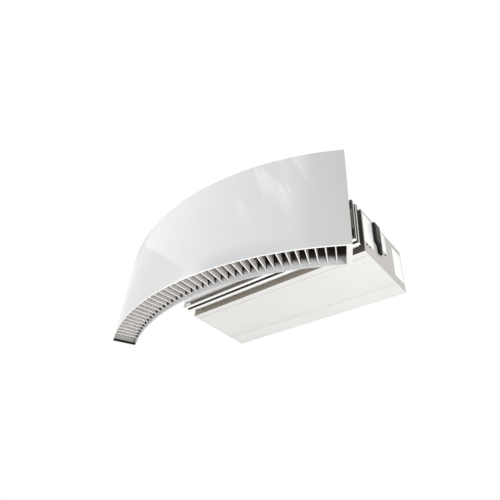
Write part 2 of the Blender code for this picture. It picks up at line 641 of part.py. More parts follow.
def build_fan(name, x):
    half = FAN_WIDTH / 2
    scroll = prism(f"fan_scroll_{name}", scroll_outline(SCROLL_SHEET), "x", x - half, x + half,
                   "galvanised", smooth=True)
    hollow = prism("hollow", scroll_outline(0), "x", x - half + SCROLL_SHEET, x + half - SCROLL_SHEET,
                   "galvanised")
    inlet = cylinder("inlet", (FAN_Y, FAN_Z), INLET_RADIUS, x - half - CUT_SLACK, x + half + CUT_SLACK,
                     "galvanised", "x", LARGE_SIDES)
    carve(scroll, [hollow, inlet])

    wheel_half = half - SCROLL_SHEET - IMPELLER_SIDE_GAP
    ring_inner = IMPELLER_RADIUS - BLADE_DEPTH
    wheel = cylinder(f"impeller_{name}", (FAN_Y, FAN_Z), IMPELLER_RADIUS - BLADE_DEPTH / 2,
                     x - WHEEL_DISC / 2, x + WHEEL_DISC / 2, "aluminium", "x", WHEEL_SIDES)
    parts = [cylinder("hub", (FAN_Y, FAN_Z), HUB_RADIUS, x - HUB_LENGTH / 2, x + HUB_LENGTH / 2,
                      "aluminium"),
             cylinder("shaft", (FAN_Y, FAN_Z), SHAFT_RADIUS, x - MOTOR_DISC_GAP - SHAFT_DEPTH,
                      x + HUB_LENGTH, "aluminium", "x", SMALL_SIDES)]
    for edge in (-1, 1):
        low, high = sorted((x + edge * wheel_half, x + edge * (wheel_half - IMPELLER_RING)))
        ring = cylinder("ring", (FAN_Y, FAN_Z), IMPELLER_RADIUS, low, high, "aluminium", "x",
                        WHEEL_SIDES)
        carve(ring, [cylinder("bore", (FAN_Y, FAN_Z), ring_inner, low - CUT_SLACK, high + CUT_SLACK,
                              "aluminium", "x", WHEEL_SIDES)])
        parts.append(ring)
    for i in range(BLADE_COUNT):
        parts.append(blade(2 * math.pi * i / BLADE_COUNT, x, wheel_half - IMPELLER_RING / 2))
    fuse(wheel, parts)
    set_origin(wheel, (x, FAN_Y, FAN_Z))

    near = x - MOTOR_DISC_GAP
    far = x - half - BRACKET_THICKNESS - GAP
    motor = cylinder(f"fan_motor_{name}", (FAN_Y, FAN_Z), MOTOR_RADIUS, far, near, "motor_paint", "x",
                     LARGE_SIDES)
    reach = INLET_RADIUS + BRACKET_REACH
    turns = [math.pi / 2 + 2 * math.pi * i / BRACKET_COUNT for i in range(BRACKET_COUNT)]
    fuse(motor, [bracket_arm(turn, reach, far) for turn in turns])
    carve(motor, [cylinder("bore", (FAN_Y, FAN_Z), SHAFT_RADIUS + SHAFT_CLEARANCE,
                           near - SHAFT_DEPTH - SHAFT_END_GAP, near + CUT_SLACK, "motor_paint", "x",
                           SMALL_SIDES)])


def blade(turn, x, half_length):
    """A curved-forward blade, drawn as a flat plate leaning from the inner to the outer edge."""
    middle = IMPELLER_RADIUS - BLADE_DEPTH / 2
    centre = Vector((math.cos(turn), math.sin(turn))) * middle
    along = Vector((math.cos(turn + BLADE_LEAN), math.sin(turn + BLADE_LEAN)))
    along *= BLADE_DEPTH / 2 - BLADE_INSET
    across = Vector((-along.y, along.x)).normalized() * BLADE_THICKNESS / 2
    corners = [centre - along - across, centre + along - across, centre + along + across,
               centre - along + across]
    outline = [(FAN_Y + c.x, FAN_Z + c.y) for c in corners]
    return prism("blade", outline, "x", x - half_length, x + half_length, "aluminium")


def bracket_arm(turn, reach, x):
    along = Vector((math.cos(turn), math.sin(turn)))
    across = Vector((-along.y, along.x)) * BRACKET_WIDTH / 2
    near = along * MOTOR_RADIUS * BRACKET_ROOT
    far = along * reach
    corners = [near - across, far - across, far + across, near + across]
    outline = [(FAN_Y + c.x, FAN_Z + c.y) for c in corners]
    return prism("arm", outline, "x", x, x + BRACKET_THICKNESS, "motor_paint")


def build_fan_deck():
    """The partition that carries the fans, with one opening for each fan's mouth."""
    inner = HALF_W - CASE_SHEET - GAP
    deck = block("fan_deck", (-inner, inner), (DECK_Y, DECK_Y + CASE_SHEET),
                 (BOTTOM_Z + DECK_FLOOR_GAP, WALL_HIGH - CASE_SHEET - GAP), "galvanised")
    mouth_low = FAN_Z + SCROLL_BASE_RADIUS * math.sin(CUTOFF_ANGLE)
    mouth_high = FAN_Z + SCROLL_TOP_RADIUS
    mouths = [block("mouth", (x - FAN_WIDTH / 2 + SCROLL_SHEET, x + FAN_WIDTH / 2 - SCROLL_SHEET),
                    (DECK_Y - CUT_SLACK, DECK_Y + CASE_SHEET + CUT_SLACK), (mouth_low, mouth_high),
                    "galvanised")
              for x in FAN_CENTRES_X]
    carve(deck, mouths)


def tube(name, points, radius, material, sides):
    """A round bar along a planar path in the plane y = const, with flat ends."""
    loops = []
    for i, point in enumerate(points):
        before = points[max(i - 1, 0)]
        after = points[min(i + 1, len(points) - 1)]
        tangent = (Vector(after) - Vector(before)).normalized()
        first = Vector((0, 1, 0))
        second = tangent.cross(first)
        loops.append([Vector(point) + radius * (math.cos(a) * first + math.sin(a) * second)
                      for a in (2 * math.pi * k / sides for k in range(sides))])
    return loft(name, loops, material, smooth=True)


def build_heater():
    low_y = FRONT_Y + HEATER_FROM_FRONT
    ends = (low_y, low_y + HEATER_DEPTH)
    inner = (OPEN_HALF_W - 2 * DUCT_SHEET - HEATER_MARGIN, OPEN_LOW + HEATER_MARGIN,
             OPEN_HIGH - HEATER_MARGIN)
    outer = (inner[0] + HEATER_SHEET, inner[1] - HEATER_SHEET, inner[2] + HEATER_SHEET)
    frame_sweep("heater_frame", [(*inner, ends[0]), (*outer, ends[0]), (*outer, ends[1]),
                                 (*inner, ends[1])], "galvanised")
    middle = sum(ends) / 2
    pitch = (inner[2] - inner[1]) / HEATER_ROD_COUNT
    left = -inner[0] + GAP
    bend = inner[0] - HEATER_BEND_RADIUS - HEATER_ROD_RADIUS - HEATER_BEND_GAP
    for i in range(HEATER_ROD_COUNT):
        z = inner[1] + pitch * (i + 0.5)
        path = [(left, middle, z - HEATER_BEND_RADIUS)]
        for k in range(HEATER_BEND_STEPS + 1):
            turn = math.pi * (k / HEATER_BEND_STEPS - 0.5)
            path.append((bend + HEATER_BEND_RADIUS * math.cos(turn), middle,
                         z + HEATER_BEND_RADIUS * math.sin(turn)))
        path.append((left, middle, z + HEATER_BEND_RADIUS))
        tube(f"heater_rod_{i + 1}", path, HEATER_ROD_RADIUS, "heater_steel", HEATER_ROD_SIDES)


def build_intake():
    half = HALF_W - INTAKE_MARGIN_X
    low = BOTTOM_Z + INTAKE_MARGIN_Z
    high = -INTAKE_MARGIN_Z
    ends = (BACK_Y + GAP, BACK_Y + GAP + GRILLE_SHEET)
    rim = (half + GRILLE_RIM / 2, low - GRILLE_RIM / 2, high + GRILLE_RIM / 2)
    hole = (half - GRILLE_RIM / 2, low + GRILLE_RIM / 2, high - GRILLE_RIM / 2)
    grille = frame_sweep("intake_grille", [(*hole, ends[0]), (*rim, ends[0]), (*rim, ends[1]),
                                           (*hole, ends[1])], "grey_sheet")
    pitch = (hole[2] - hole[1]) / (SLAT_COUNT + 1)
    slats = []
    for i in range(SLAT_COUNT):
        z = hole[1] + pitch * (i + 1)
        slats.append(block("slat", (-hole[0] - SLAT_ROOT, hole[0] + SLAT_ROOT),
                           (ends[0] + SLAT_INSET, ends[1] - SLAT_INSET),
                           (z - SLAT_HEIGHT / 2, z + SLAT_HEIGHT / 2), "grey_sheet"))
    fuse(grille, slats)
    inside = BACK_Y - CASE_SHEET - GAP
    outside, within = FILTER_FRAME
    frame_out = (half + outside, low - outside, high + outside)
    frame_inn = (half - within, low + within, high - within)
    deep = inside - FILTER_DEPTH
    frame_sweep("filter_frame", [(*frame_inn, deep), (*frame_out, deep), (*frame_out, inside),
                                 (*frame_inn, inside)], "galvanised")
    width = frame_inn[0] - GAP
    near = inside - FILTER_MARGIN
    away = deep + FILTER_MARGIN
    slope = FILTER_MEDIA_THICKNESS
    points = []
    for i in range(FILTER_PLEATS + 1):
        x = -width + slope + 2 * (width - slope) * i / FILTER_PLEATS
        points.append((x, near if i % 2 else away + slope))
    outline = [(x, y) for x, y in points] + [(x, y - slope) for x, y in reversed(points)]
    prism("filter_media", outline, "z", frame_inn[1] + GAP, frame_inn[2] - GAP, "filter_fabric")


def build_controls():
    """A tray with the control board and the terminal block beside the right fan."""
    low_y, high_y = TRAY_Y
    low_z = BOTTOM_Z + TRAY_FLOOR_GAP
    high_z = -TRAY_ROOF_GAP
    t = CASE_SHEET
    outline = [(TRAY_X, low_y), (TRAY_X + TRAY_FLANGE, low_y), (TRAY_X + TRAY_FLANGE, low_y + t),
               (TRAY_X + t, low_y + t), (TRAY_X + t, high_y - t), (TRAY_X + TRAY_FLANGE, high_y - t),
               (TRAY_X + TRAY_FLANGE, high_y), (TRAY_X, high_y)]
    prism("control_tray", outline, "z", low_z, high_z, "galvanised")
    base = TRAY_X + t
    board_x = base + BOARD_STANDOFF
    board_y = (low_y + BOARD_INSET, low_y + BOARD_INSET + BOARD_LENGTH)
    board_z = (low_z + BOARD_LIFT, high_z - BOARD_INSET)
    board = block("control_board", (board_x, board_x + BOARD_SHEET), board_y, board_z, "circuit_board")
    row_pitch = (board_z[1] - board_z[0] - 2 * PART_START[1]) / (PART_ROWS - 1)
    parts = []
    for row in range(PART_ROWS):
        for column in range(PART_COLUMNS):
            y = board_y[0] + PART_START[0] + PART_PITCH * column
            z = board_z[0] + PART_START[1] + row_pitch * row
            size = PART_SIZES[(row + column) % len(PART_SIZES)]
            parts.append(block("component", (board_x + BOARD_SHEET / 2, board_x + PART_LIFT + size),
                               (y - size, y + size), (z - size, z + size), "circuit_board"))
    for y in (board_y[0] + POST_INSET, board_y[1] - POST_INSET):
        for z in (board_z[0] + POST_INSET, board_z[1] - POST_INSET):
            parts.append(cylinder("post", (y, z), POST_RADIUS, base + GAP, board_x + BOARD_SHEET / 2,
                                  "circuit_board", "x", POST_SIDES))
    fuse(board, parts)
    start_z = low_z + TERMINAL_LIFT
    rib_x, floor_x = (base + depth for depth in TERMINAL_DEPTHS)
    profile = [(base + GAP, start_z)]
    for i in range(TERMINAL_WAYS):
        z = start_z + TERMINAL_PITCH * i
        profile += [(rib_x, z), (rib_x, z + TERMINAL_RIB), (floor_x, z + TERMINAL_RIB),
                    (floor_x, z + TERMINAL_PITCH)]
    profile.append((base + GAP, start_z + TERMINAL_PITCH * TERMINAL_WAYS))
    terminal_y = high_y - TERMINAL_Y[0]
    prism("terminal_block", profile, "y", terminal_y, terminal_y + TERMINAL_Y[1], "grey_plastic")


def side_outline(place, corner):
    start, length, low, drop = place
    return rounded_outline((FRONT_Y + start, BOTTOM_Z + low), (FRONT_Y + start + length, -drop), corner)


def build_side_pieces():
    """Blank service plates and the cable connection cover on the casing's right side."""
    base = HALF_W + GAP
    for name, place in (("side_plate_front", PLATE_FRONT), ("side_plate_middle", PLATE_MIDDLE),
                        ("side_plate_rear", PLATE_REAR)):
        prism(name, side_outline(place, PLATE_CORNER), "x", base, base + PLATE_SHEET, "white_sheet")
    start, length, low, drop = CONNECTION
    near = FRONT_Y + start
    far = near + length
    bottom = BOTTOM_Z + low
    top = -drop
    shoulder = bottom + CONNECTION_TAIL
    corner = CONNECTION_CORNER
    tail_near, tail_far, step, neck = (near + length * share for share in CONNECTION_SHARES)
    outline = [(tail_near, bottom), (tail_far, bottom), (far, shoulder), (far, top - corner),
               (far - corner, top), (near + corner, top), (near, top - corner), (near, shoulder + corner),
               (step, shoulder - corner), (neck, shoulder - 2 * corner)]
    prism("connection_cover", outline, "x", base, base + CONNECTION_DEPTH, "black_plastic")
    face = base + CONNECTION_DEPTH + GAP
    margin = LID_MARGIN
    inset = rounded_outline((near + margin[0], shoulder + margin[2]), (far - margin[1], top - margin[3]),
                            LID_CORNER)
    prism("connection_lid", inset, "x", face, face + LID_SHEET, "grey_plastic")


def main():
    clear_scene()
    build_casing()
    build_hatch()
    build_duct()
    build_nozzle()
    build_fins()
    for name, x in zip(("left", "right"), FAN_CENTRES_X):
        build_fan(name, x)
    build_fan_deck()
    build_heater()
    build_intake()
    build_controls()
    build_side_pieces()


main()
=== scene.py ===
import json
import math
import bmesh
import bpy
from mathutils import Matrix, Vector


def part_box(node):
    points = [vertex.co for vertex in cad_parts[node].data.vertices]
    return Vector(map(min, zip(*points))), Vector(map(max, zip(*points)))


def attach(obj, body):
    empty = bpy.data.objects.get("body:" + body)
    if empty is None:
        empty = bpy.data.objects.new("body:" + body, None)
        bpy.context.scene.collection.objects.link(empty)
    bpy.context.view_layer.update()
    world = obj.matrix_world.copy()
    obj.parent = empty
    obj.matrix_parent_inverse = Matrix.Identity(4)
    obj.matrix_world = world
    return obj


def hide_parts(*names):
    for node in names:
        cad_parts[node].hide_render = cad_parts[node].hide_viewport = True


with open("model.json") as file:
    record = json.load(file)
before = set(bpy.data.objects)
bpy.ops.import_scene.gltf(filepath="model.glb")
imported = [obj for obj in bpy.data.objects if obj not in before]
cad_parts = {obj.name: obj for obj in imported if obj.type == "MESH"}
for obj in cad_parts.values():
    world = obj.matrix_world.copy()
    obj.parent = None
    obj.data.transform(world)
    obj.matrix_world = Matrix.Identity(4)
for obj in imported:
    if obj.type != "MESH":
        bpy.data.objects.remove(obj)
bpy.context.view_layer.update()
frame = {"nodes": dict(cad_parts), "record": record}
print("frame loaded:", len(frame["nodes"]), "pieces")

slotOf = {part["node"]: part["material_slot"] for part in frame["record"]["subparts"]}
bodyOf = {name: body for body, names in frame["record"]["behaviour"]["bodies"].items() for name in names}


# node sheets: one class for links, one for shader and geometry trees

class Link:
    # an output socket that takes part in sums
    def __init__(self, sheet, socket):
        self.sheet = sheet
        self.socket = socket

    def maths(self, operation, first, second=0.0):
        return self.sheet.node("ShaderNodeMath", {"operation": operation}, {0: first, 1: second})

    def sine(self):
        return self.maths("SINE", self)

    def cosine(self):
        return self.maths("COSINE", self)

    def root(self):
        return self.maths("SQRT", self)

    def most(self, other):
        return self.maths("MAXIMUM", self, other)

    def band(self, low, high):
        # 0 below low, 1 above high, smooth between
        return self.sheet.node("ShaderNodeMapRange", {"interpolation_type": "SMOOTHSTEP"},
                               {"Value": self, "From Min": low, "From Max": high})

    def window(self, rise, fall):
        # 1 between a soft rise and a soft fall, each given as (low, high)
        return self.band(*rise) * (1.0 - self.band(*fall))


def addOperator(name, operation):
    # lets links be used in ordinary sums, with a link or a plain number on either side
    setattr(Link, f"__{name}__", lambda link, other: link.maths(operation, link, other))
    if name not in ("gt", "lt"):
        setattr(Link, f"__r{name}__", lambda link, other: link.maths(operation, other, link))


for name, operation in (("add", "ADD"), ("sub", "SUBTRACT"), ("mul", "MULTIPLY"), ("truediv", "DIVIDE"),
                        ("gt", "GREATER_THAN"), ("lt", "LESS_THAN")):
    addOperator(name, operation)


class Sheet:
    def __init__(self, tree):
        self.tree = tree

    def node(self, kind, settings, inputs, output=0):
        made = self.tree.nodes.new(kind)
        for key, value in settings.items():
            if key == "stops":
                while len(made.color_ramp.elements) < len(value):
                    made.color_ramp.elements.new(0.5)
                for stop, (place, colour) in zip(made.color_ramp.elements, value):
                    stop.position = place
                    stop.color = (*colour, 1.0)
            else:
                setattr(made, key, value)
        for key, value in inputs.items():
            self.join(value, made.inputs[key])
        return Link(self, made.outputs[output])

    def join(self, value, socket):
        if isinstance(value, Link):
            self.tree.links.new(value.socket, socket)
        elif isinstance(value, tuple) and socket.type == "RGBA":
            socket.default_value = (*value[:3], 1.0)
        else:
            socket.default_value = value

    def vector(self, x, y, z):
        return self.node("ShaderNodeCombineXYZ", {}, {0: x, 1: y, 2: z})


class Finish(Sheet):
    # a surface finish; what is the same all over sits on the shader's own sockets
    def __init__(self, name, fixed):
        self.material = bpy.data.materials.new(name)
        self.material.use_nodes = True
        super().__init__(self.material.node_tree)
        self.shader = self.tree.nodes["Principled BSDF"]
        for key, value in fixed.items():
            self.join(value, self.shader.inputs[key])
        self.place = self.node("ShaderNodeTexCoord", {}, {}, "Object")

    def stretched(self, x, y, z):
        return self.node("ShaderNodeMapping", {}, {"Vector": self.place, "Scale": (x, y, z)})

    def noise(self, scale, detail=3.0, roughness=0.5, where=None):
        return self.node("ShaderNodeTexNoise", {}, {"Vector": where or self.place, "Scale": scale,
                                                    "Detail": detail, "Roughness": roughness})

    def cells(self, scale, output="Color", feature="F1"):
        return self.node("ShaderNodeTexVoronoi", {"feature": feature},
                         {"Vector": self.place, "Scale": scale}, output)

    def grey(self, colour):
        return self.node("ShaderNodeSeparateColor", {}, {0: colour})

    def axis(self, letter):
        return self.node("ShaderNodeSeparateXYZ", {}, {0: self.place}, letter.upper())

    def mix(self, share, first, second, way="MIX"):
        return self.node("ShaderNodeMix", {"data_type": "RGBA", "blend_type": way},
                         {0: share, 6: first, 7: second}, 2)

    def ramp(self, value, stops):
        return self.node("ShaderNodeValToRGB", {"stops": stops}, {0: value})

    def give(self, **values):
        for key, value in values.items():
            self.join(value, self.shader.inputs[key.replace("_", " ")])

    def facing(self, letter):
        # the surface's own direction along one axis
        normal = self.node("ShaderNodeTexCoord", {}, {}, "Normal")
        return self.node("ShaderNodeSeparateXYZ", {}, {0: normal}, letter.upper())

    def faces(self, letter):
        # 1 where the surface faces either way along the axis
        way = self.facing(letter)
        return (way * way) > 0.5

    def close(self, colour, roughness, height, depth, strength, **others):
        # the last step of every finish: colour, roughness and fine relief
        bump = self.node("ShaderNodeBump", {}, {"Height": height, "Distance": depth, "Strength": strength})
        self.give(Base_Color=colour, Roughness=roughness, Normal=bump, **others)
        return self.material


# finishes: each maker has its own values beside it

powder = {"clouds": 2.2, "dustAndShade": 26.0, "peel": 520.0, "waves": 3.2, "depth": 0.0035, "strength": 0.35}


def powderCoat(name, light, dark, roughness):
    # sprayed and baked paint: fine orange peel, slow waves in the sheet, thin dust
    finish = Finish(name, {"Metallic": 0.0, "Specular IOR Level": 0.4})
    clouds = finish.noise(powder["clouds"], 4.0)
    dustAndShade = finish.noise(powder["dustAndShade"], 5.0, 0.65)
    peel = finish.noise(powder["peel"], 2.0)
    waves = finish.noise(powder["waves"], 1.0)
    colour = finish.mix(clouds.band(0.35, 0.7) * 0.6 + dustAndShade.band(0.45, 0.8) * 0.4, light, dark)
    return finish.close(colour, roughness + 0.10 * (dustAndShade - 0.5) + 0.04 * clouds, peel * 0.05 + waves,
                        powder["depth"], powder["strength"])


def bareSheet(name, light, dark, roughness, grain, spangle, metallic):
    # rolled metal sheet: spangle cells, rolling lines, handling marks
    finish = Finish(name, {})
    cell = finish.grey(finish.cells(spangle))
    lines = finish.noise(1.0, 3.0, 0.6, finish.stretched(*grain))
    marks = finish.noise(9.0, 6.0, 0.7)
    share = cell * 0.45 + lines * 0.35 + marks.band(0.35, 0.75) * 0.35
    return finish.close(finish.mix(share, light, dark),
                        roughness + 0.16 * (lines - 0.5) + 0.10 * (cell - 0.5), lines * 0.5 + cell * 0.2,
                        0.0004, 0.4, Metallic=metallic - 0.15 * marks.band(0.5, 0.8))


# the tones, the patch, the low band and the streak colour are painted reflection and painted shade on the
# sheet; the hem colour is a painted highlight
fasciaLook = {"roughness": 0.17, "metallic": 0.55, "depth": 0.004, "strength": 0.25,
              "tones": [(0.05, (0.89, 0.895, 0.90)), (0.45, (0.79, 0.795, 0.80)),
                        (0.70, (0.69, 0.695, 0.70)), (0.86, (0.645, 0.645, 0.645)),
                        (0.90, (0.585, 0.585, 0.58)), (1.00, (0.54, 0.54, 0.53))],
              "patch": (0.715, 0.715, 0.71), "patchX": -0.714, "patchZ": -0.05, "patchSlope": 0.81,
              "patchSoft": 0.018, "patchReach": (-0.95, -0.55),
              "low": (0.60, 0.605, 0.615), "lowShare": 0.9, "lowHeights": (-0.72, -0.60),
              "lowStart": (0.05, 0.30), "lowEnd": (0.62, 0.80),
              "smudgeAndSheen": (0.88, 0.89, 0.90), "sheenShare": 0.5, "streakLean": -0.36,
              "streakSize": (0.10, 1.0, 0.8), "sheenStart": (0.15, 0.40), "sheenEnd": (0.66, 0.80),
              "sheenHeights": (-0.6, -0.2),
              "hem": (0.97, 0.965, 0.955), "hemTop": -0.7295}


def polishedSheet(halfWidth):
    # bright rolled sheet: painted reflection as a slow change of tone along the arc, a painted duller
    # reflection patch at the left end, a painted shade band low in the middle, painted sheen streaks over
    # smudges in the roughness, a painted highlight on the folded lower edge, and fine rolling lines
    look = fasciaLook
    finish = Finish("polishedSheet", {"Metallic": look["metallic"]})
    height = finish.axis("z")
    wide = finish.axis("x")
    clouds = finish.noise(1.6, 3.0, 0.5)
    drift = (clouds - 0.5) * 0.05
    slanted = finish.node("ShaderNodeMapping", {"vector_type": "TEXTURE"},
                          {"Vector": finish.place, "Rotation": (0.0, look["streakLean"], 0.0),
                           "Scale": look["streakSize"]})
    smudgeAndSheen = finish.noise(1.0, 4.0, 0.55, slanted)
    grain = finish.noise(1.0, 3.0, 0.6, finish.stretched(6.0, 6.0, 420.0))
    # painted reflection: the sheet's tone falls from light at the left end to darker at the right end
    colour = finish.ramp((wide + halfWidth) / (2 * halfWidth) + drift, look["tones"])
    edge = height - look["patchZ"] + look["patchSlope"] * (wide - look["patchX"]) + drift
    # painted reflection: a duller patch at the left end, bounded by a slanting edge
    patch = (1.0 - edge.band(-look["patchSoft"], look["patchSoft"])) * wide.band(*look["patchReach"])
    colour = finish.mix(patch, colour, look["patch"])
    # painted shade: a darker band low down in the middle of the arc
    lower = (1.0 - height.band(*look["lowHeights"])) * wide.window(look["lowStart"], look["lowEnd"])
    colour = finish.mix(lower * look["lowShare"], colour, look["low"])
    # painted reflection: light sheen streaks across the middle; the same slanted noise makes smudges in the
    # roughness
    streak = smudgeAndSheen.band(0.52, 0.68) * wide.window(look["sheenStart"], look["sheenEnd"])
    streak = streak * height.band(*look["sheenHeights"])
    colour = finish.mix(streak * look["sheenShare"], colour, look["smudgeAndSheen"])
    # painted highlight: the folded lower edge is near white
    colour = finish.mix(height < look["hemTop"], colour, look["hem"])
    return finish.close(colour, look["roughness"] + smudgeAndSheen.band(0.45, 0.75) * 0.10 + (grain - 0.5) * 0.08,
                        grain * 0.02 + clouds, look["depth"], look["strength"])


# face and line are the strip's own colours; the dark colour is painted shade and the edge colour a painted
# highlight
finLook = {"face": (0.97, 0.925, 0.88), "paintedShade": (0.055, 0.042, 0.034), "line": (0.66, 0.61, 0.57),
           "edge": (0.97, 0.965, 0.95), "edgeTop": -0.7047, "bottom": -0.710, "deep": (-0.655, -0.630),
           "rearStart": 0.009, "rearSlope": 0.24, "rearSoft": (-0.002, 0.003), "frontGap": 0.003,
           "frontSoft": 0.001, "edgeShadowLine": 0.0012, "edgeShadowShare": 0.4, "metallic": 0.12, "roughness": 0.46}


def finSheet(axisY, inner, outer):
    # mill-finish strip with drawn lines; its folded lower edge carries a painted highlight, and painted
    # shade lies deep between the fins, along both walls and in a thin line just above the edge
    look = finLook
    finish = Finish("finSheet", {})
    height = finish.axis("z")
    wide = finish.axis("x")
    away = finish.axis("y") - axisY
    radius = (wide * wide + away * away).root()
    lines = finish.noise(1.0, 2.0, 0.5, finish.stretched(9.0, 9.0, 130.0))
    marks = finish.noise(30.0, 5.0, 0.7)
    face = finish.mix(lines.band(0.45, 0.7) * 0.5 + marks.band(0.5, 0.8) * 0.15, look["face"], look["line"])
    # painted shade: dark towards the rear wall and rising with height, dark deep up between the fins, and
    # dark along the fascia
    rearReach = inner + look["rearStart"] + look["rearSlope"] * (height - look["bottom"])
    paintedShade = 1.0 - (radius - rearReach).band(*look["rearSoft"])
    paintedShade = paintedShade.most(height.band(*look["deep"]))
    paintedShade = paintedShade.most((radius - outer).band(-look["frontGap"] - look["frontSoft"],
                                           -look["frontGap"] + look["frontSoft"]))
    # painted shadow: a thin dark line just above the folded edge
    paintedShade = paintedShade.most((height < look["edgeTop"] + look["edgeShadowLine"]) * look["edgeShadowShare"])
    # painted highlight: the folded lower edge is near white and not metallic
    edge = height < look["edgeTop"]
    colour = finish.mix(edge, finish.mix(paintedShade, face, look["paintedShade"]), look["edge"])
    return finish.close(colour, look["roughness"] + 0.12 * (marks - 0.5), lines, 0.0001, 0.2,
                        Metallic=look["metallic"] - look["metallic"] * edge)


# the light lip and joint colours are painted highlights, the dark web and side colours painted shade
flangeLook = {"lip": (0.96, 0.955, 0.94), "lipWorn": (0.80, 0.79, 0.77), "web": (0.13, 0.12, 0.105),
              "webDark": (0.21, 0.195, 0.17), "side": (0.006, 0.006, 0.006), "joint": (0.75, 0.745, 0.73),
              "jointReach": 0.0205, "depth": 0.024, "neck": 0.050}


def flangeSheet(frontY):
    # pressed flange profile: painted highlight on the lips facing down, painted shade on the webs, and
    # painted shade near black on the ends with a painted highlight line beside the joint
    look = flangeLook
    finish = Finish("flangeSheet", {"Metallic": 0.0, "Specular IOR Level": 0.08})
    marks = finish.noise(40.0, 5.0, 0.65)
    away = finish.axis("y") - (frontY - look["neck"] - 1.5 * look["depth"])
    near = (away * away) < look["jointReach"] * look["jointReach"]
    lip = finish.mix(marks.band(0.5, 0.8) * 0.4, look["lip"], look["lipWorn"])
    # painted shade on the end faces, near black, with a painted highlight line beside the joint
    side = finish.mix(near, look["side"], look["joint"])
    # lit and shaded copies of one sheet: painted highlight on faces down, painted shade on faces along Y
    colour = finish.mix(finish.faces("y"), lip, finish.mix(marks, look["web"], look["webDark"]))
    return finish.close(finish.mix(finish.faces("x"), colour, side), 0.40 + 0.2 * (marks - 0.5), marks,
                        0.0003, 0.3)


# the tones and the dark colour are painted shade over brown primer: lighter at the bottom, near black higher
# up and to the right
primerAndShadeLook = {"reach": 0.12, "paintedShade": (0.045, 0.042, 0.036), "shadeStart": (0.45, 0.72), "shadeShare": 0.85,
              "tones": [(0.0, (0.36, 0.325, 0.275)), (0.40, (0.31, 0.275, 0.225)),
                        (0.60, (0.12, 0.11, 0.095)), (0.85, (0.035, 0.032, 0.028))]}


def frontPrimer(bottomZ):
    # the casing's front wall: brown primer under painted shade, darkening upward towards the flanges and
    # towards the right end
    look = primerAndShadeLook
    finish = Finish("frontPrimer", {"Metallic": 0.0, "Specular IOR Level": 0.08})
    marks = finish.noise(14.0, 5.0, 0.65)
    rise = finish.axis("z") - bottomZ + (marks - 0.5) * 0.02
    # painted shade: the wall darkens with height above its bottom edge
    colour = finish.ramp(rise / look["reach"], look["tones"])
    # painted shade: darkest towards the right end
    paintedShade = (finish.axis("x") + 0.10 * (marks - 0.5)).band(*look["shadeStart"])
    colour = finish.mix(paintedShade * look["shadeShare"], colour, look["paintedShade"])
    return finish.close(colour, 0.5 + 0.2 * (marks - 0.5), finish.noise(300.0, 3.0), 0.0004, 0.3)


# the bare colours are the sheet with a painted highlight, the near-black colours painted shade on the sides
ductLook = {"bare": (0.95, 0.945, 0.93), "bareDull": (0.80, 0.795, 0.78), "sideShade": (0.008, 0.008, 0.008),
            "sideShadeMottled": (0.02, 0.02, 0.019)}


def ductLitAndShaded():
    # duct wall: painted highlight on the faces below, painted shade near black on the side faces
    look = ductLook
    finish = Finish("ductSheet", {"Metallic": 0.0, "Specular IOR Level": 0.15})
    marks = finish.noise(24.0, 5.0, 0.65)
    bare = finish.mix(marks.band(0.45, 0.8) * 0.5, look["bare"], look["bareDull"])
    sideShade = finish.mix(marks, look["sideShade"], look["sideShadeMottled"])
    # lit and shaded copies of one sheet: painted shade on faces along X, painted highlight elsewhere
    return finish.close(finish.mix(finish.faces("x"), bare, sideShade), 0.38 + 0.2 * (marks - 0.5), marks,
                        0.0004, 0.3)


# the dark colour is painted shade on the inner face above the fins
wallLook = {"bare": (0.72, 0.725, 0.73), "bareDull": (0.60, 0.605, 0.61), "dustAndShade": (0.095, 0.072, 0.056),
            "shadeHeights": (-0.694, -0.664), "metallic": 0.12}


def nozzleWall():
    # rear wall of the nozzle: bright outside and along the outlet, with painted shade on its inner face
    # above the fins
    look = wallLook
    finish = Finish("nozzleWall", {"Metallic": look["metallic"]})
    marks = finish.noise(20.0, 5.0, 0.65)
    bare = finish.mix(marks.band(0.45, 0.8) * 0.5, look["bare"], look["bareDull"])
    # painted shade: the inner face darkens above the fins
    deep = finish.axis("z").band(*look["shadeHeights"]) * (finish.facing("y") < 0.0)
    return finish.close(finish.mix(deep, bare, look["dustAndShade"]), 0.40 + 0.2 * (marks - 0.5), marks, 0.0004, 0.3)


# along the strip's front edge, the grey line is painted shade and the near-white fold a painted highlight
stripLook = {"light": (0.775, 0.765, 0.74), "dark": (0.745, 0.735, 0.71), "shadeLine": (0.66, 0.65, 0.625),
             "shadeLineReach": (0.0075, 0.0095), "highlightAndRubbed": (0.97, 0.965, 0.955), "highlightReach": (0.0050, 0.0060)}


def hemmedStrip(frontY):
    # white strip whose folded front edge carries a painted highlight, with a thin line of painted shade
    # behind the fold
    look = stripLook
    finish = Finish("hemmedStrip", {"Metallic": 0.0, "Specular IOR Level": 0.4})
    back = finish.axis("y") - frontY
    dustAndShade = finish.noise(powder["dustAndShade"], 5.0, 0.65)
    colour = finish.mix(dustAndShade.band(0.45, 0.8) * 0.4, look["light"], look["dark"])
    # painted shade: a thin grey line behind the fold
    colour = finish.mix(1.0 - back.band(*look["shadeLineReach"]), colour, look["shadeLine"])
    # painted highlight: the folded front edge is near white
    colour = finish.mix(1.0 - back.band(*look["highlightReach"]), colour, look["highlightAndRubbed"])
    return finish.close(colour, 0.36 + 0.10 * (dustAndShade - 0.5), finish.noise(powder["peel"], 2.0) * 0.05,
                        powder["depth"], powder["strength"])


# the near-black colour is painted shade on the right-hand corners
cornerLook = {"bare": (0.88, 0.875, 0.86), "bareDull": (0.60, 0.595, 0.58), "shadedBlack": (0.018, 0.017, 0.016),
              "highlightAndRubbed": (0.16, 0.155, 0.15)}


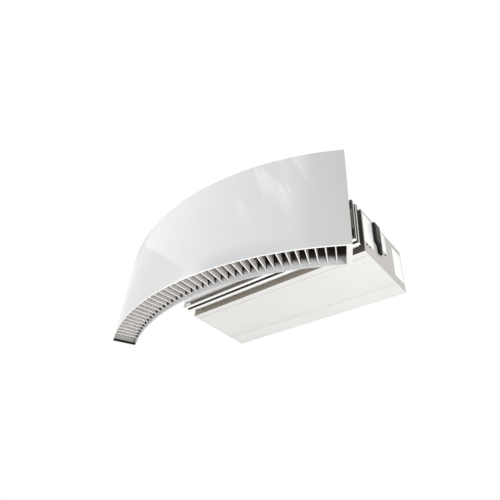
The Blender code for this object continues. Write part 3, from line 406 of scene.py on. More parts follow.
def cornerSteel():
    # corner pieces: bare at the left end, painted shade near black at the cable end, with rubbed edges
    look = cornerLook
    finish = Finish("cornerSteel", {"Specular IOR Level": 0.2})
    marks = finish.noise(70.0, 5.0, 0.7)
    bare = finish.mix(marks.band(0.45, 0.8), look["bare"], look["bareDull"])
    shadedBlack = finish.mix(marks.band(0.55, 0.8) * 0.5, look["shadedBlack"], look["highlightAndRubbed"])
    # painted shade: the corners right of the middle are near black
    return finish.close(finish.mix(finish.axis("x") > 0.0, bare, shadedBlack), 0.45 + 0.2 * (marks - 0.5), marks,
                        0.0003, 0.4, Metallic=0.3 * marks)


def dusted(name, fixed, light, dark, dustAndShade, roughness, grain, relief):
    # an even coat under soft dust or scuffs: dust is (scale, detail, roughness, from, to, share), roughness
    # is (clean, added by dust), grain is (scale, detail, roughness), relief is (depth, strength)
    finish = Finish(name, {"Metallic": 0.0, **fixed})
    marks = finish.noise(*dustAndShade[:3]).band(*dustAndShade[3:5])
    return finish.close(finish.mix(marks * dustAndShade[5], light, dark), roughness[0] + roughness[1] * marks,
                        finish.noise(*grain), *relief)


def moulded(name, light, dark, roughness):
    # moulded plastic with a fine sparked texture and scuffs
    return dusted(name, {"Specular IOR Level": 0.22}, light, dark, (24.0, 6.0, 0.7, 0.52, 0.78, 0.5),
                  (roughness, 0.15), (900.0, 3.0, 0.6), (0.0003, 0.35))


def rubberFoam(light, dusty):
    # closed-cell rubber: fine pores under thin dust
    finish = Finish("rubberFoam", {"Metallic": 0.0, "Specular IOR Level": 0.1})
    dustAndShade = finish.noise(14.0, 5.0, 0.6).band(0.5, 0.85)
    return finish.close(finish.mix(dustAndShade * 0.4, light, dusty), 0.72 + 0.2 * dustAndShade,
                        finish.cells(420.0, "Distance"), 0.0006, 0.6)


def zincPlate(cool, warm):
    # plated steel with a thin uneven haze
    finish = Finish("zincPlate", {"Metallic": 1.0})
    haze = finish.noise(60.0, 4.0, 0.6)
    tint = finish.noise(18.0, 2.0)
    return finish.close(finish.mix(tint.band(0.35, 0.65), cool, warm), 0.26 + 0.2 * haze, haze, 0.0002, 0.3)


def heatTint(tones):
    # steel that has run hot: straw, brown and blue bands
    finish = Finish("heatTint", {"Metallic": 1.0})
    drift = finish.noise(11.0, 3.0, 0.6)
    return finish.close(finish.ramp(drift, tones), 0.36 + 0.2 * finish.noise(90.0, 3.0), drift, 0.0002, 0.3)


def darkEnamel(paint, dusty):
    # thick enamel with settled dust
    return dusted("darkEnamel", {"Coat Weight": 0.25, "Coat Roughness": 0.2}, paint, dusty,
                  (30.0, 5.0, 0.65, 0.45, 0.8, 0.6), (0.34, 0.3), (340.0, 2.0, 0.5), (0.0004, 0.4))


def filterCloth(clean, soiled):
    # non-woven fibres, soiled in soft patches
    finish = Finish("filterCloth", {"Metallic": 0.0, "Specular IOR Level": 0.15, "Sheen Weight": 0.3})
    fibres = finish.noise(1.0, 5.0, 0.75, finish.stretched(420.0, 420.0, 90.0))
    soil = finish.noise(5.0, 5.0, 0.6).band(0.4, 0.75)
    return finish.close(finish.mix(soil * 0.5 + fibres * 0.25, clean, soiled), 0.9, fibres, 0.0008, 0.7)


def lacqueredBoard(dark, light, copper):
    # green lacquer over raised tracks
    finish = Finish("lacqueredBoard", {"Metallic": 0.0, "Coat Weight": 0.4, "Coat Roughness": 0.15})
    track = finish.cells(120.0, "Distance", "DISTANCE_TO_EDGE") < 0.05
    cloud = finish.noise(40.0, 3.0)
    return finish.close(finish.mix(track, finish.mix(cloud, dark, light), copper), 0.35 + 0.1 * cloud, track,
                        0.0001, 0.4)


def studioFloor(light, dark):
    finish = Finish("studioFloor", {"Metallic": 0.0, "Specular IOR Level": 0.2})
    cloud = finish.noise(0.6, 3.0)
    return finish.close(finish.mix(cloud, light, dark), 0.7 + 0.1 * cloud, finish.noise(30.0, 3.0), 0.002,
                        0.1)


casingLow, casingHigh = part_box("casing_top")
fasciaLow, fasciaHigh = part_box("fascia")
rearLow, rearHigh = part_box("nozzle_rear_wall")
halfWidth = casingHigh.x
frontY, backY = casingLow.y, casingHigh.y
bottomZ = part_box("hatch_panel")[0].z
outletZ = fasciaLow.z

nozzle = {"radius": 1.860, "outletWidth": 0.155, "sheet": 0.002, "steps": 150, "hemDepth": 0.0046,
          "hemHeight": 0.0085, "hemSteps": 6, "ductSheet": 0.0015, "windowDrop": 0.0276, "windowReach": 0.3}
arcY = fasciaLow.y + nozzle["radius"]
halfAngle = math.asin(fasciaHigh.x / nozzle["radius"])
rearRadius = nozzle["radius"] - nozzle["outletWidth"]

finishes = {
    "white_sheet": powderCoat("whiteCoat", stripLook["light"], stripLook["dark"], 0.36),
    "white_plate": powderCoat("whitePlate", (0.90, 0.895, 0.88), (0.86, 0.855, 0.84), 0.34),
    "grey_sheet": powderCoat("greyCoat", (0.49, 0.473, 0.447), (0.45, 0.435, 0.41), 0.40),
    "polished_fascia": polishedSheet(fasciaHigh.x),
    "galvanised": bareSheet("galvanisedSheet", (0.80, 0.80, 0.795), (0.60, 0.60, 0.605), 0.36,
                            (3.0, 3.0, 90.0), 75.0, 0.55),
    "flange_sheet": flangeSheet(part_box("casing_front")[0].y),
    "duct_sheet": ductLitAndShaded(),
    "nozzle_wall": nozzleWall(),
    "hemmed_strip": hemmedStrip(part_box("bottom_front_strip")[0].y),
    "corner_steel": cornerSteel(),
    "front_primer_and_shade": frontPrimer(bottomZ),
    "aluminium": finSheet(arcY, rearRadius, nozzle["radius"] - nozzle["sheet"]),
    "black_plastic": moulded("blackPlastic", (0.006, 0.006, 0.0055), (0.022, 0.022, 0.02), 0.55),
    "grey_plastic": moulded("greyPlastic", (0.065, 0.062, 0.056), (0.11, 0.105, 0.095), 0.5),
    "black_rubber": rubberFoam((0.008, 0.008, 0.008), (0.03, 0.029, 0.027)),
    "steel": zincPlate((0.66, 0.66, 0.67), (0.60, 0.585, 0.53)),
    "heater_steel": heatTint([(0.30, (0.30, 0.22, 0.13)), (0.48, (0.24, 0.15, 0.12)),
                              (0.60, (0.13, 0.13, 0.20)), (0.75, (0.22, 0.22, 0.23))]),
    "motor_paint": darkEnamel((0.055, 0.065, 0.075), (0.20, 0.20, 0.19)),
    "filter_fabric": filterCloth((0.82, 0.83, 0.81), (0.52, 0.51, 0.47)),
    "circuit_board": lacqueredBoard((0.020, 0.16, 0.06), (0.035, 0.22, 0.09), (0.06, 0.30, 0.13)),
    "mill_sheet": bareSheet("millSheet", (0.80, 0.80, 0.80), (0.62, 0.61, 0.60), 0.32, (60.0, 5.0, 5.0),
                            140.0, 0.85),
}
print("finishes made:", len(finishes))


# mesh helpers

def newPiece(name, mesh):
    piece = bpy.data.objects.new(name, mesh)
    bpy.context.scene.collection.objects.link(piece)
    return piece


def fromWork(name, work):
    mesh = bpy.data.meshes.new(name)
    bmesh.ops.remove_doubles(work, verts=work.verts, dist=1e-6)
    bmesh.ops.recalc_face_normals(work, faces=work.faces)
    work.to_mesh(mesh)
    work.free()
    return newPiece(name, mesh)


def smooth(piece, angle=32.0):
    piece.data.shade_smooth()
    piece.data.set_sharp_from_angle(angle=math.radians(angle))
    return piece


def roundEdges(work, width, segments=2, angle=28.0):
    # rounds the sharp edges of a closed shape
    bmesh.ops.dissolve_limit(work, angle_limit=math.radians(0.6), verts=work.verts, edges=work.edges)
    sharp = [edge for edge in work.edges
             if len(edge.link_faces) == 2 and edge.calc_face_angle(0.0) > math.radians(angle)]
    bmesh.ops.bevel(work, geom=sharp, offset=width, segments=segments, profile=0.5, affect="EDGES",
                    clamp_overlap=True)


def joinRings(work, rings, closed=False):
    # joins every ring of points to the next; the run ends in two faces, or goes back to the first ring
    count = len(rings[0])
    for ring, other in zip(rings, rings[1:] + (rings[:1] if closed else [])):
        for i in range(count):
            j = (i + 1) % count
            work.faces.new((ring[i], ring[j], other[j], other[i]))
    if not closed:
        for end in (rings[0], rings[-1]):
            work.faces.new(end)
    return work


def prism(outline, axis, low, high):
    # an outline in the two other axes, in X, Y, Z order, extruded along the axis
    place = {"x": lambda a, b, c: (c, a, b), "y": lambda a, b, c: (a, c, b),
             "z": lambda a, b, c: (a, b, c)}[axis]
    work = bmesh.new()
    return joinRings(work, [[work.verts.new(place(a, b, level)) for a, b in outline]
                            for level in (low, high)])


def lathe(profile, steps, axis="z"):
    # turns (radius, level) points about an axis; a radius of 0 makes a pole
    turn = {"z": lambda r, a, h: (r * math.cos(a), r * math.sin(a), h),
            "x": lambda r, a, h: (h, r * math.cos(a), r * math.sin(a))}[axis]
    work = bmesh.new()
    return joinRings(work, [[work.verts.new(turn(radius, 2 * math.pi * i / steps, level))
                             for i in range(steps)] for radius, level in profile])


def merge(name, pieces):
    # several shapes as one piece
    work = bmesh.new()
    for piece in pieces:
        work.from_mesh(piece.data)
        bpy.data.objects.remove(piece)
    mesh = bpy.data.meshes.new(name)
    work.to_mesh(mesh)
    work.free()
    return newPiece(name, mesh)


def settle(piece, spare=()):
    # turns a piece and its modifiers into one plain mesh, and drops the shapes it was made with
    graph = bpy.context.evaluated_depsgraph_get()
    mesh = bpy.data.meshes.new_from_object(piece.evaluated_get(graph))
    piece.modifiers.clear()
    piece.data = mesh
    for other in spare:
        bpy.data.objects.remove(other)
    return piece


def carve(piece, tool):
    cut = piece.modifiers.new("cut", "BOOLEAN")
    cut.operation = "DIFFERENCE"
    cut.solver = "EXACT"
    cut.object = tool
    return settle(piece, (tool,))


def setTo(piece, body, slot, nodes=(), finish=None):
    # finish, body and the pieces it stands for
    piece.data.materials.clear()
    piece.data.materials.append(finishes[finish or slot])
    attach(piece, body)
    if nodes:
        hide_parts(*nodes)
    return piece


# geometry recipes

class Recipe(Sheet):
    # a Geometry Nodes tree with named inputs; run() makes one plain mesh with it
    def __init__(self, name, sizes):
        super().__init__(bpy.data.node_groups.new(name, "GeometryNodeTree"))
        face = self.tree.interface
        face.new_socket("Geometry", in_out="INPUT", socket_type="NodeSocketGeometry")
        face.new_socket("Geometry", in_out="OUTPUT", socket_type="NodeSocketGeometry")
        for label, kind in {**sizes, "Material": "Material"}.items():
            face.new_socket(label, in_out="INPUT", socket_type="NodeSocket" + kind)
        self.start = self.tree.nodes.new("NodeGroupInput")
        self.end = self.tree.nodes.new("NodeGroupOutput")

    def given(self, label):
        return Link(self, self.start.outputs[label])

    def close(self, geometry):
        real = self.node("GeometryNodeRealizeInstances", {}, {0: geometry})
        done = self.node("GeometryNodeSetMaterial", {},
                         {"Geometry": real, "Material": self.given("Material")})
        self.join(done, self.end.inputs[0])
        return self

    def run(self, name, start, sizes, material, spare=()):
        piece = start if start else newPiece(name, bpy.data.meshes.new(name))
        step = piece.modifiers.new(self.tree.name, "NODES")
        step.node_group = self.tree
        keys = {item.name: item.identifier for item in self.tree.interface.items_tree
                if item.in_out == "INPUT"}
        for label, value in {**sizes, "Material": material}.items():
            step[keys[label]] = value
        piece.name = name
        return settle(piece, spare)


def bendRecipe():
    # bends a straight strip drawn as (angle, radius, height) about an upright axis
    recipe = Recipe("bendAboutAxis", {"Axis Y": "Float"})
    position = recipe.node("GeometryNodeInputPosition", {}, {})
    turn, radius, height = (recipe.node("ShaderNodeSeparateXYZ", {}, {0: position}, letter)
                            for letter in "XYZ")
    place = recipe.vector(radius * turn.sine(), recipe.given("Axis Y") - radius * turn.cosine(), height)
    moved = recipe.node("GeometryNodeSetPosition", {}, {"Geometry": recipe.given("Geometry"),
                                                        "Position": place})
    return recipe.close(moved)


def rowRecipe():
    # copies one shape along a straight row
    recipe = Recipe("copiesInRow", {"Piece": "Object", "Count": "Int", "Start": "Vector", "Step": "Vector"})
    number = recipe.node("GeometryNodeInputIndex", {}, {})
    shift = recipe.node("ShaderNodeVectorMath", {"operation": "SCALE"},
                        {"Vector": recipe.given("Step"), "Scale": number})
    place = recipe.node("ShaderNodeVectorMath", {"operation": "ADD"}, {0: recipe.given("Start"), 1: shift})
    return placeCopies(recipe, place, (0.0, 0.0, 0.0))


def placeCopies(recipe, place, turn):
    points = recipe.node("GeometryNodePoints", {}, {"Count": recipe.given("Count"), "Position": place})
    piece = recipe.node("GeometryNodeObjectInfo", {}, {"Object": recipe.given("Piece")}, "Geometry")
    copies = recipe.node("GeometryNodeInstanceOnPoints", {}, {"Points": points, "Instance": piece,
                                                              "Rotation": turn})
    return recipe.close(copies)


def arcRecipe():
    # copies one shape round the nozzle's arc; the shape is drawn at the arc's axis, pointing to -Y
    recipe = Recipe("copiesOnArc", {"Piece": "Object", "Count": "Int", "First": "Float", "Pitch": "Float",
                                    "Axis Y": "Float"})
    angle = recipe.given("First") + recipe.given("Pitch") * recipe.node("GeometryNodeInputIndex", {}, {})
    return placeCopies(recipe, recipe.vector(0.0, recipe.given("Axis Y"), 0.0),
                       recipe.vector(0.0, 0.0, angle))


def wheelRecipe():
    # copies one shape round an axis along X
    recipe = Recipe("copiesRoundX", {"Piece": "Object", "Count": "Int", "Centre": "Vector", "Turn": "Float"})
    number = recipe.node("GeometryNodeInputIndex", {}, {})
    angle = recipe.given("Turn") + number * (2 * math.pi) / recipe.given("Count")
    return placeCopies(recipe, recipe.given("Centre"), recipe.vector(angle, 0.0, 0.0))


def fixingRecipe():
    # sets a fixing on every point, along the point's own direction, each turned by chance
    recipe = Recipe("fixings", {"Piece": "Object", "Seed": "Int", "Spread": "Float"})
    aim = recipe.node("GeometryNodeInputNamedAttribute", {"data_type": "FLOAT_VECTOR"}, {"Name": "aim"})
    turn = recipe.node("FunctionNodeAlignRotationToVector", {"axis": "Z"}, {"Vector": aim})
    chance = recipe.node("FunctionNodeRandomValue", {"data_type": "FLOAT"},
                         {2: 0.0, 3: recipe.given("Spread"), 8: recipe.given("Seed")}, 1)
    spun = recipe.node("FunctionNodeRotateRotation", {"rotation_space": "LOCAL"},
                       {0: turn, 1: recipe.vector(0.0, 0.0, chance)})
    points = recipe.node("GeometryNodeMeshToPoints", {}, {0: recipe.given("Geometry")})
    piece = recipe.node("GeometryNodeObjectInfo", {}, {"Object": recipe.given("Piece")}, "Geometry")
    copies = recipe.node("GeometryNodeInstanceOnPoints", {}, {"Points": points, "Instance": piece,
                                                              "Rotation": spun})
    return recipe.close(copies)


bendAbout = bendRecipe()
inRow = rowRecipe()
onArc = arcRecipe()
roundX = wheelRecipe()
fixings = fixingRecipe()


def setFixings(name, spots, piece, body, slot, turn, seed):
    # spots are (place, direction) pairs; each copy turns by chance, up to the turn given
    mesh = bpy.data.meshes.new(name)
    mesh.from_pydata([place for place, way in spots], [], [])
    aim = mesh.attributes.new("aim", "FLOAT_VECTOR", "POINT")
    aim.data.foreach_set("vector", [value for place, way in spots for value in way])
    made = fixings.run(name, newPiece(name, mesh), {"Piece": piece, "Seed": seed, "Spread": turn},
                       finishes[slot], (piece,))
    if "aim" in made.data.attributes:
        made.data.attributes.remove(made.data.attributes["aim"])
    return setTo(smooth(made), body, slot)


# sheet-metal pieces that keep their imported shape, with merged seams and rounded edges

edgeWidths = [
    (0.0006, "casing_top casing_left_side casing_right_side casing_front casing_back bottom_front_strip "
             "bottom_rear_strip hatch_panel"),
    (0.0005, "hatch_stiffener_left hatch_stiffener_right"),
    (0.0003, "hinge_leaf_fixed_left hinge_leaf_fixed_right hinge_leaf_hatch_left hinge_leaf_hatch_right "
             "hinge_pin_left hinge_pin_right hatch_latch_left hatch_latch_right"),
    (0.0008, "hanger_nut_1 hanger_nut_2 hanger_nut_3 hanger_nut_4"),
    (0.0004, "neck"), (0.0012, "rear_flange front_flange"), (0.0015, "flange_gasket"), (0.0004, "duct"),
    (0.0005, "nozzle_top"), (0.0006, "nozzle_end_left nozzle_end_right"), (0.0020, "outlet_end_seal"),
    (0.0005, "fan_deck"), (0.0004, "fan_scroll_left fan_scroll_right"), (0.0006, "heater_frame"),
    (0.0012, "filter_frame"), (0.0, "filter_media"), (0.0005, "control_tray"), (0.0006, "terminal_block"),
    (0.0005, "side_plate_front side_plate_middle side_plate_rear"), (0.0030, "connection_cover"),
    (0.0010, "connection_lid"), (0.0004, "heater_rod_1 heater_rod_2 heater_rod_3 heater_rod_4"),
]


def refined(node, width):
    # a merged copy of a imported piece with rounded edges
    work = bmesh.new()
    work.from_mesh(frame["nodes"][node].data)
    bmesh.ops.remove_doubles(work, verts=work.verts, dist=2e-6)
    if width:
        roundEdges(work, width)
    mesh = bpy.data.meshes.new(node + "Shape")
    work.to_mesh(mesh)
    work.free()
    return smooth(newPiece(node + "Shape", mesh))


ownFinish = {"duct": "duct_sheet", "neck": "duct_sheet", "front_flange": "flange_sheet",
             "rear_flange": "flange_sheet", "casing_front": "front_primer_and_shade",
             "bottom_front_strip": "hemmed_strip", "side_plate_front": "white_plate",
             "side_plate_middle": "white_plate", "side_plate_rear": "white_plate"}
for width, names in edgeWidths:
    for node in names.split():
        setTo(refined(node, width), bodyOf[node], slotOf[node], (node,), ownFinish.get(node))
print("sheet pieces refined")


# curved nozzle: fascia and rear wall, bent from hemmed strips

def hemProfile(face, low, high):
    # a sheet seen from its end as (radius, z), with both edges folded inward into a round hem
    inward, sheet = -1, nozzle["sheet"]
    depth = nozzle["hemDepth"]
    bead = depth / 2
    tall = nozzle["hemHeight"]
    points = []
    for end, way in ((low, 1), (high, -1)):
        turns = [math.pi * i / nozzle["hemSteps"] for i in range(nozzle["hemSteps"] + 1)]
        arc = [(face + inward * (bead - bead * math.cos(turn)), end + way * (bead - bead * math.sin(turn)))
               for turn in turns]
        fold = [(face + inward * depth, end + way * tall),
                (face + inward * sheet, end + way * (tall + 0.001))]
        points += arc + fold if way > 0 else list(reversed(arc + fold))
    return points


def bentStrip(name, profile, turns):
    # draws a profile of (radius, height) points at each angle, and bends the straight strip round the arc
    work = bmesh.new()
    joinRings(work, [[work.verts.new((turn, radius, level)) for radius, level in profile] for turn in turns])
    mesh = bpy.data.meshes.new(name)
    work.to_mesh(mesh)
    work.free()
    piece = bendAbout.run(name, newPiece(name, mesh), {"Axis Y": arcY}, finishes["galvanised"])
    work = bmesh.new()
    work.from_mesh(piece.data)
    bmesh.ops.recalc_face_normals(work, faces=work.faces)
    work.to_mesh(piece.data)
    work.free()
    return piece


turns = [halfAngle * (2 * i / nozzle["steps"] - 1) for i in range(nozzle["steps"] + 1)]
fascia = bentStrip("fasciaSheet", hemProfile(nozzle["radius"], outletZ, fasciaHigh.z), turns)
setTo(smooth(fascia, 40), "unit", "polished_fascia", ("fascia",))
rearWall = bentStrip("rearWallSheet", hemProfile(rearRadius, outletZ, rearHigh.z), turns)
ductLow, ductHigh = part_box("duct")
wall = nozzle["ductSheet"]
left, right = ductLow.x + wall, ductHigh.x - wall
sill, lintel = ductLow.z + wall, ductHigh.z - nozzle["windowDrop"]
window = prism([(left, sill), (right, sill), (right, lintel), (left, lintel)], "y",
               rearLow.y - nozzle["windowReach"], rearHigh.y + nozzle["windowReach"])
carve(rearWall, fromWork("window", window))
setTo(smooth(rearWall, 40), "unit", "galvanised", ("nozzle_rear_wall",), "nozzle_wall")
print("nozzle sheets bent")


# outlet fins: one rounded fin copied round the arc, with a middle rail

fins = {"count": 37, "thickness": 0.003, "edge": 0.0054, "height": 0.080, "recess": 0.024, "sideGap": 0.0015,
        "closure": 0.028, "rail": 0.003, "railHeight": 0.012, "railSteps": 90, "railOverhang": 0.48,
        "beadSteps": 8, "beadTurn": 250.0}
finBottom = outletZ + fins["recess"]
finTop = finBottom + fins["height"]
finInner = rearRadius + fins["sideGap"]
finOuter = nozzle["radius"] - nozzle["sheet"] - fins["sideGap"]
closureAngle = fins["closure"] / (nozzle["radius"] - nozzle["outletWidth"] / 2)
finPitch = 2 * (halfAngle - closureAngle) / (fins["count"] + 1)


def finShape():
    # a folded strip with a round bead along its lower edge
    half = fins["thickness"] / 2
    bead = fins["edge"] / 2
    outline = []
    for i in range(fins["beadSteps"] + 1):
        turn = math.radians(fins["beadTurn"] * (i / fins["beadSteps"] - 0.5) - 90)
        outline.append((bead * math.cos(turn), finBottom + bead + bead * math.sin(turn)))
    outline += [(half, finBottom + 2.2 * bead), (half, finTop - half), (half * 0.5, finTop),
                (-half * 0.5, finTop), (-half, finTop - half), (-half, finBottom + 2.2 * bead)]
    return fromWork("finShape", prism(outline, "y", -finOuter, -finInner))


middle = (finInner + finOuter - fins["rail"]) / 2
railEnd = finPitch * ((fins["count"] - 1) / 2 + fins["railOverhang"])
railBottom, railBack = finTop - fins["railHeight"], middle + fins["rail"]
railProfile = [(middle, railBottom), (railBack, railBottom), (railBack, finTop), (middle, finTop)]
rail = bentStrip("finRail", railProfile,
                 [railEnd * (2 * i / fins["railSteps"] - 1) for i in range(fins["railSteps"] + 1)])
shape = finShape()
finRow = onArc.run("outletFins", None, {"Piece": shape, "Count": fins["count"],
                                        "First": -finPitch * (fins["count"] - 1) / 2, "Pitch": finPitch,
                                        "Axis Y": arcY}, finishes["aluminium"], (shape,))
outletFins = merge("outletFinSet", [finRow, rail])
setTo(smooth(outletFins), "unit", "aluminium", ("fin_cassette_1", "fin_cassette_2", "fin_cassette_3"))
print("outlet fins placed:", fins["count"])


# fans: wheel blades, motor ribs

fan = {"blades": 40, "bladeSheet": 0.0011, "bladeDepth": 0.0175, "bladeLean": 0.085, "bladeInset": 0.0008,
       "bladeSteps": 6, "ring": 0.006, "ringDepth": 0.018, "ringSteps": 64,
       "disc": [(0.006, -0.036), (0.0065, -0.012), (0.016, -0.0062), (0.016, -0.001), (0.030, -0.001)],
       "hub": [(0.030, 0.001), (0.016, 0.001), (0.0155, 0.0055), (0.0065, 0.0062), (0.006, 0.0115),
               (0.005, 0.012)],
       "motorRadius": 0.052, "motorRibs": 22, "ribHeight": 0.004, "ribSheet": 0.0022,
       "ribEnds": (0.022, 0.010),
       "cap": [(0.0, -0.003), (0.020, -0.003), (0.040, -0.001), (0.046, 0.001), (0.0, 0.001)]}


def bladeShape(radius, half):
    # a forward-curved blade, an arc in the wheel's plane
    outline = []
    count = fan["bladeSteps"]
    for side in (1, -1):
        for i in range(count + 1):
            share = (i if side > 0 else count - i) / count
            reach = radius - fan["bladeDepth"] * (1 - share) + fan["bladeInset"] * (1 - 2 * share)
            lean = fan["bladeLean"] * math.sin(share * math.pi / 2) + side * fan["bladeSheet"] / 2 / reach
            outline.append((reach * math.cos(lean), reach * math.sin(lean)))
    return fromWork("bladeShape", prism(outline, "x", -half, half))


def fanWheel(side):
    low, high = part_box("impeller_" + side)
    scrollLow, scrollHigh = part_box("fan_scroll_" + side)
    radius = (high.z - low.z) / 2
    centreX = (scrollLow.x + scrollHigh.x) / 2
    half = high.x - centreX
    centre = (centreX, (low.y + high.y) / 2, (low.z + high.z) / 2)
    blade = bladeShape(radius, half - fan["ring"] / 2)
    blades = roundX.run("blades", None, {"Piece": blade, "Count": fan["blades"], "Centre": centre,
                                         "Turn": 0.0}, finishes["mill_sheet"], (blade,))
    parts = [blades]
    inner = radius - fan["ringDepth"]
    for way in (-1, 1):
        outer = way * half
        near = way * (half - fan["ring"])
        work = bmesh.new()
        ringPoints = [(inner, near), (radius - 0.001, near), (radius, near + way * 0.001),
                      (radius, outer - way * 0.0015), (radius - 0.0015, outer), (inner + 0.001, outer),
                      (inner, outer - way * 0.001)]
        turns = [2 * math.pi * i / fan["ringSteps"] for i in range(fan["ringSteps"])]
        parts.append(fromWork("ring", joinRings(work, [
            [work.verts.new((level, r * math.cos(turn), r * math.sin(turn))) for r, level in ringPoints]
            for turn in turns], True)))
    rim = [(radius - 0.010, -0.001), (radius - 0.009, 0.0), (radius - 0.010, 0.001)]
    parts.append(fromWork("disc", lathe(fan["disc"] + rim + fan["hub"], 48, "x")))
    for part in parts[1:]:
        part.data.transform(Matrix.Translation(Vector(centre)))
    wheel = merge("fanWheel" + side.capitalize(), parts)
    setTo(smooth(wheel), "wheel_" + side, "aluminium", ("impeller_" + side,), "mill_sheet")
    return centre


def fanMotor(side, centre):
    low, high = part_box("fan_motor_" + side)
    base = refined("fan_motor_" + side, 0.0008)
    root, tip, sheet = fan["motorRadius"] - 0.001, fan["motorRadius"] + fan["ribHeight"], fan["ribSheet"]
    start, end = low.x + fan["ribEnds"][0] - centre[0], high.x - fan["ribEnds"][1] - centre[0]
    rib = fromWork("rib", prism([(root, -sheet / 2), (tip, -sheet / 4), (tip, sheet / 4),
                                 (root, sheet / 2)], "x", start, end))
    ribs = roundX.run("ribs", None, {"Piece": rib, "Count": fan["motorRibs"], "Centre": centre, "Turn": 0.1},
                      finishes["motor_paint"], (rib,))
    cap = fromWork("cap", lathe(fan["cap"], 40, "x"))
    cap.data.transform(Matrix.Translation(Vector((low.x, centre[1], centre[2]))))
    setTo(smooth(merge("fanMotor" + side.capitalize(), [base, ribs, cap])), "unit", "motor_paint",
          ("fan_motor_" + side,))


for side in ("left", "right"):
    fanMotor(side, fanWheel(side))
print("fans built")


# heater: thin round fins along every rod

heater = {"finRadius": 0.0125, "finSheet": 0.0006, "pitch": 0.0105, "margin": 0.030, "bendRoom": 0.030,
          "rodRadius": 0.004, "rods": 4}
heaterLow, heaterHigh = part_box("heater_frame")
rodSpots = []
for number in range(heater["rods"]):
    low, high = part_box(f"heater_rod_{number + 1}")
    rodSpots += [low.z + heater["rodRadius"], high.z - heater["rodRadius"]]
finStart = heaterLow.x + heater["margin"]
finRoom = heaterHigh.x - heaterLow.x - 2 * heater["margin"] - heater["bendRoom"]
finCount = int(finRoom / heater["pitch"])
inner, outer, half = heater["rodRadius"] - 0.0002, heater["finRadius"], heater["finSheet"] / 2
rodFins = []
for level in rodSpots:
    disc = fromWork("disc", lathe([(inner, -half), (outer, -half), (outer, half), (inner, half)], 12, "x"))
    rodFins.append(inRow.run("rodFins", None, {"Piece": disc, "Count": finCount,
                                               "Start": (finStart, (heaterLow.y + heaterHigh.y) / 2, level),
                                               "Step": (heater["pitch"], 0.0, 0.0)},
                             finishes["heater_steel"], (disc,)))
setTo(smooth(merge("heaterFins", rodFins)), "unit", "heater_steel")
print("heater fins placed:", finCount * len(rodSpots))


# intake grille: frame with louvre slats

grille = {"slats": 9, "rim": 0.018, "slatDepth": 0.0065, "slatHeight": 0.00245, "lean": 0.5, "slatSteps": 10,
          "bars": 4, "barStart": -0.42, "barPitch": 0.28, "barHalf": 0.002}
grilleLow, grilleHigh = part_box("intake_grille")
holeLow, holeHigh = grilleLow.z + grille["rim"], grilleHigh.z - grille["rim"]
holeX = grilleHigh.x - grille["rim"]


def grilleFrame():
    # a bevelled frame round the intake
    rim = grille["rim"]
    near, far = grilleLow.y, grilleHigh.y
    section = [(0.0, near), (rim, near), (rim, far - 0.003), (rim - 0.004, far), (0.003, far),
               (0.0, far - 0.002)]
    work = bmesh.new()
    rings = []
    for sx, sz in ((-1, -1), (1, -1), (1, 1), (-1, 1)):
        level = holeLow if sz < 0 else holeHigh
        rings.append([work.verts.new((sx * (holeX + out), y, level + sz * out)) for out, y in section])
    return fromWork("grilleFrame", joinRings(work, rings, True))


slatY = (grilleLow.y + grilleHigh.y) / 2
leanX, leanY = math.cos(grille["lean"]), math.sin(grille["lean"])
outline = []
for i in range(grille["slatSteps"]):
    turn = 2 * math.pi * i / grille["slatSteps"]
    a, b = grille["slatDepth"] / 2 * math.cos(turn), grille["slatHeight"] / 2 * math.sin(turn)
    outline.append((a * leanX - b * leanY, a * leanY + b * leanX))
slat = fromWork("slat", prism(outline, "x", -holeX - 0.002, holeX + 0.002))
slatPitch = (holeHigh - holeLow) / (grille["slats"] + 1)
slats = inRow.run("slats", None, {"Piece": slat, "Count": grille["slats"],
                                  "Start": (0.0, slatY, holeLow + slatPitch), "Step": (0.0, 0.0, slatPitch)},
                  finishes["grey_sheet"], (slat,))
half = grille["barHalf"]
near, far = grilleLow.y + 0.0005, slatY - 0.001
bar = fromWork("bar", prism([(-half, near), (half, near), (half, far), (-half, far)], "z", holeLow,
                            holeHigh))
bars = inRow.run("bars", None, {"Piece": bar, "Count": grille["bars"],
                                "Start": (grille["barStart"], 0.0, 0.0),
                                "Step": (grille["barPitch"], 0.0, 0.0)}, finishes["grey_sheet"], (bar,))
setTo(smooth(merge("grilleSet", [grilleFrame(), slats, bars])), "unit", "grey_sheet", ("intake_grille",))
print("intake grille built")


# screws, rivets and bolts

def screwHead(radius, height):
    # a pan head with a washer face and a slot pressed across
    washer = radius * 1.25
    work = lathe([(0.0, -0.0006), (washer, -0.0006), (washer, 0.0004), (radius, 0.0005),
                  (radius * 0.97, height * 0.55), (radius * 0.75, height * 0.88), (radius * 0.35, height),
                  (0.0, height)], 16)
    half = radius * 0.14
    slot = prism([(-radius, -half), (radius, -half), (radius, half), (-radius, half)], "z", height * 0.62,
                 height + 0.002)
    return carve(fromWork("screwHead", work), fromWork("slot", slot))


def rivetHead(radius, height):
    return fromWork("rivetHead", lathe([(0.0, -0.0003), (radius, -0.0003), (radius, 0.0003),
                                        (radius * 0.8, height * 0.75), (radius * 0.4, height),
                                        (0.0, height)], 12))


bolt = {"head": 0.005, "nut": 0.0065, "washer": 0.0012, "washerShare": 0.62, "shank": 0.0035, "tail": 0.010,
        "tailBevel": 0.0005}


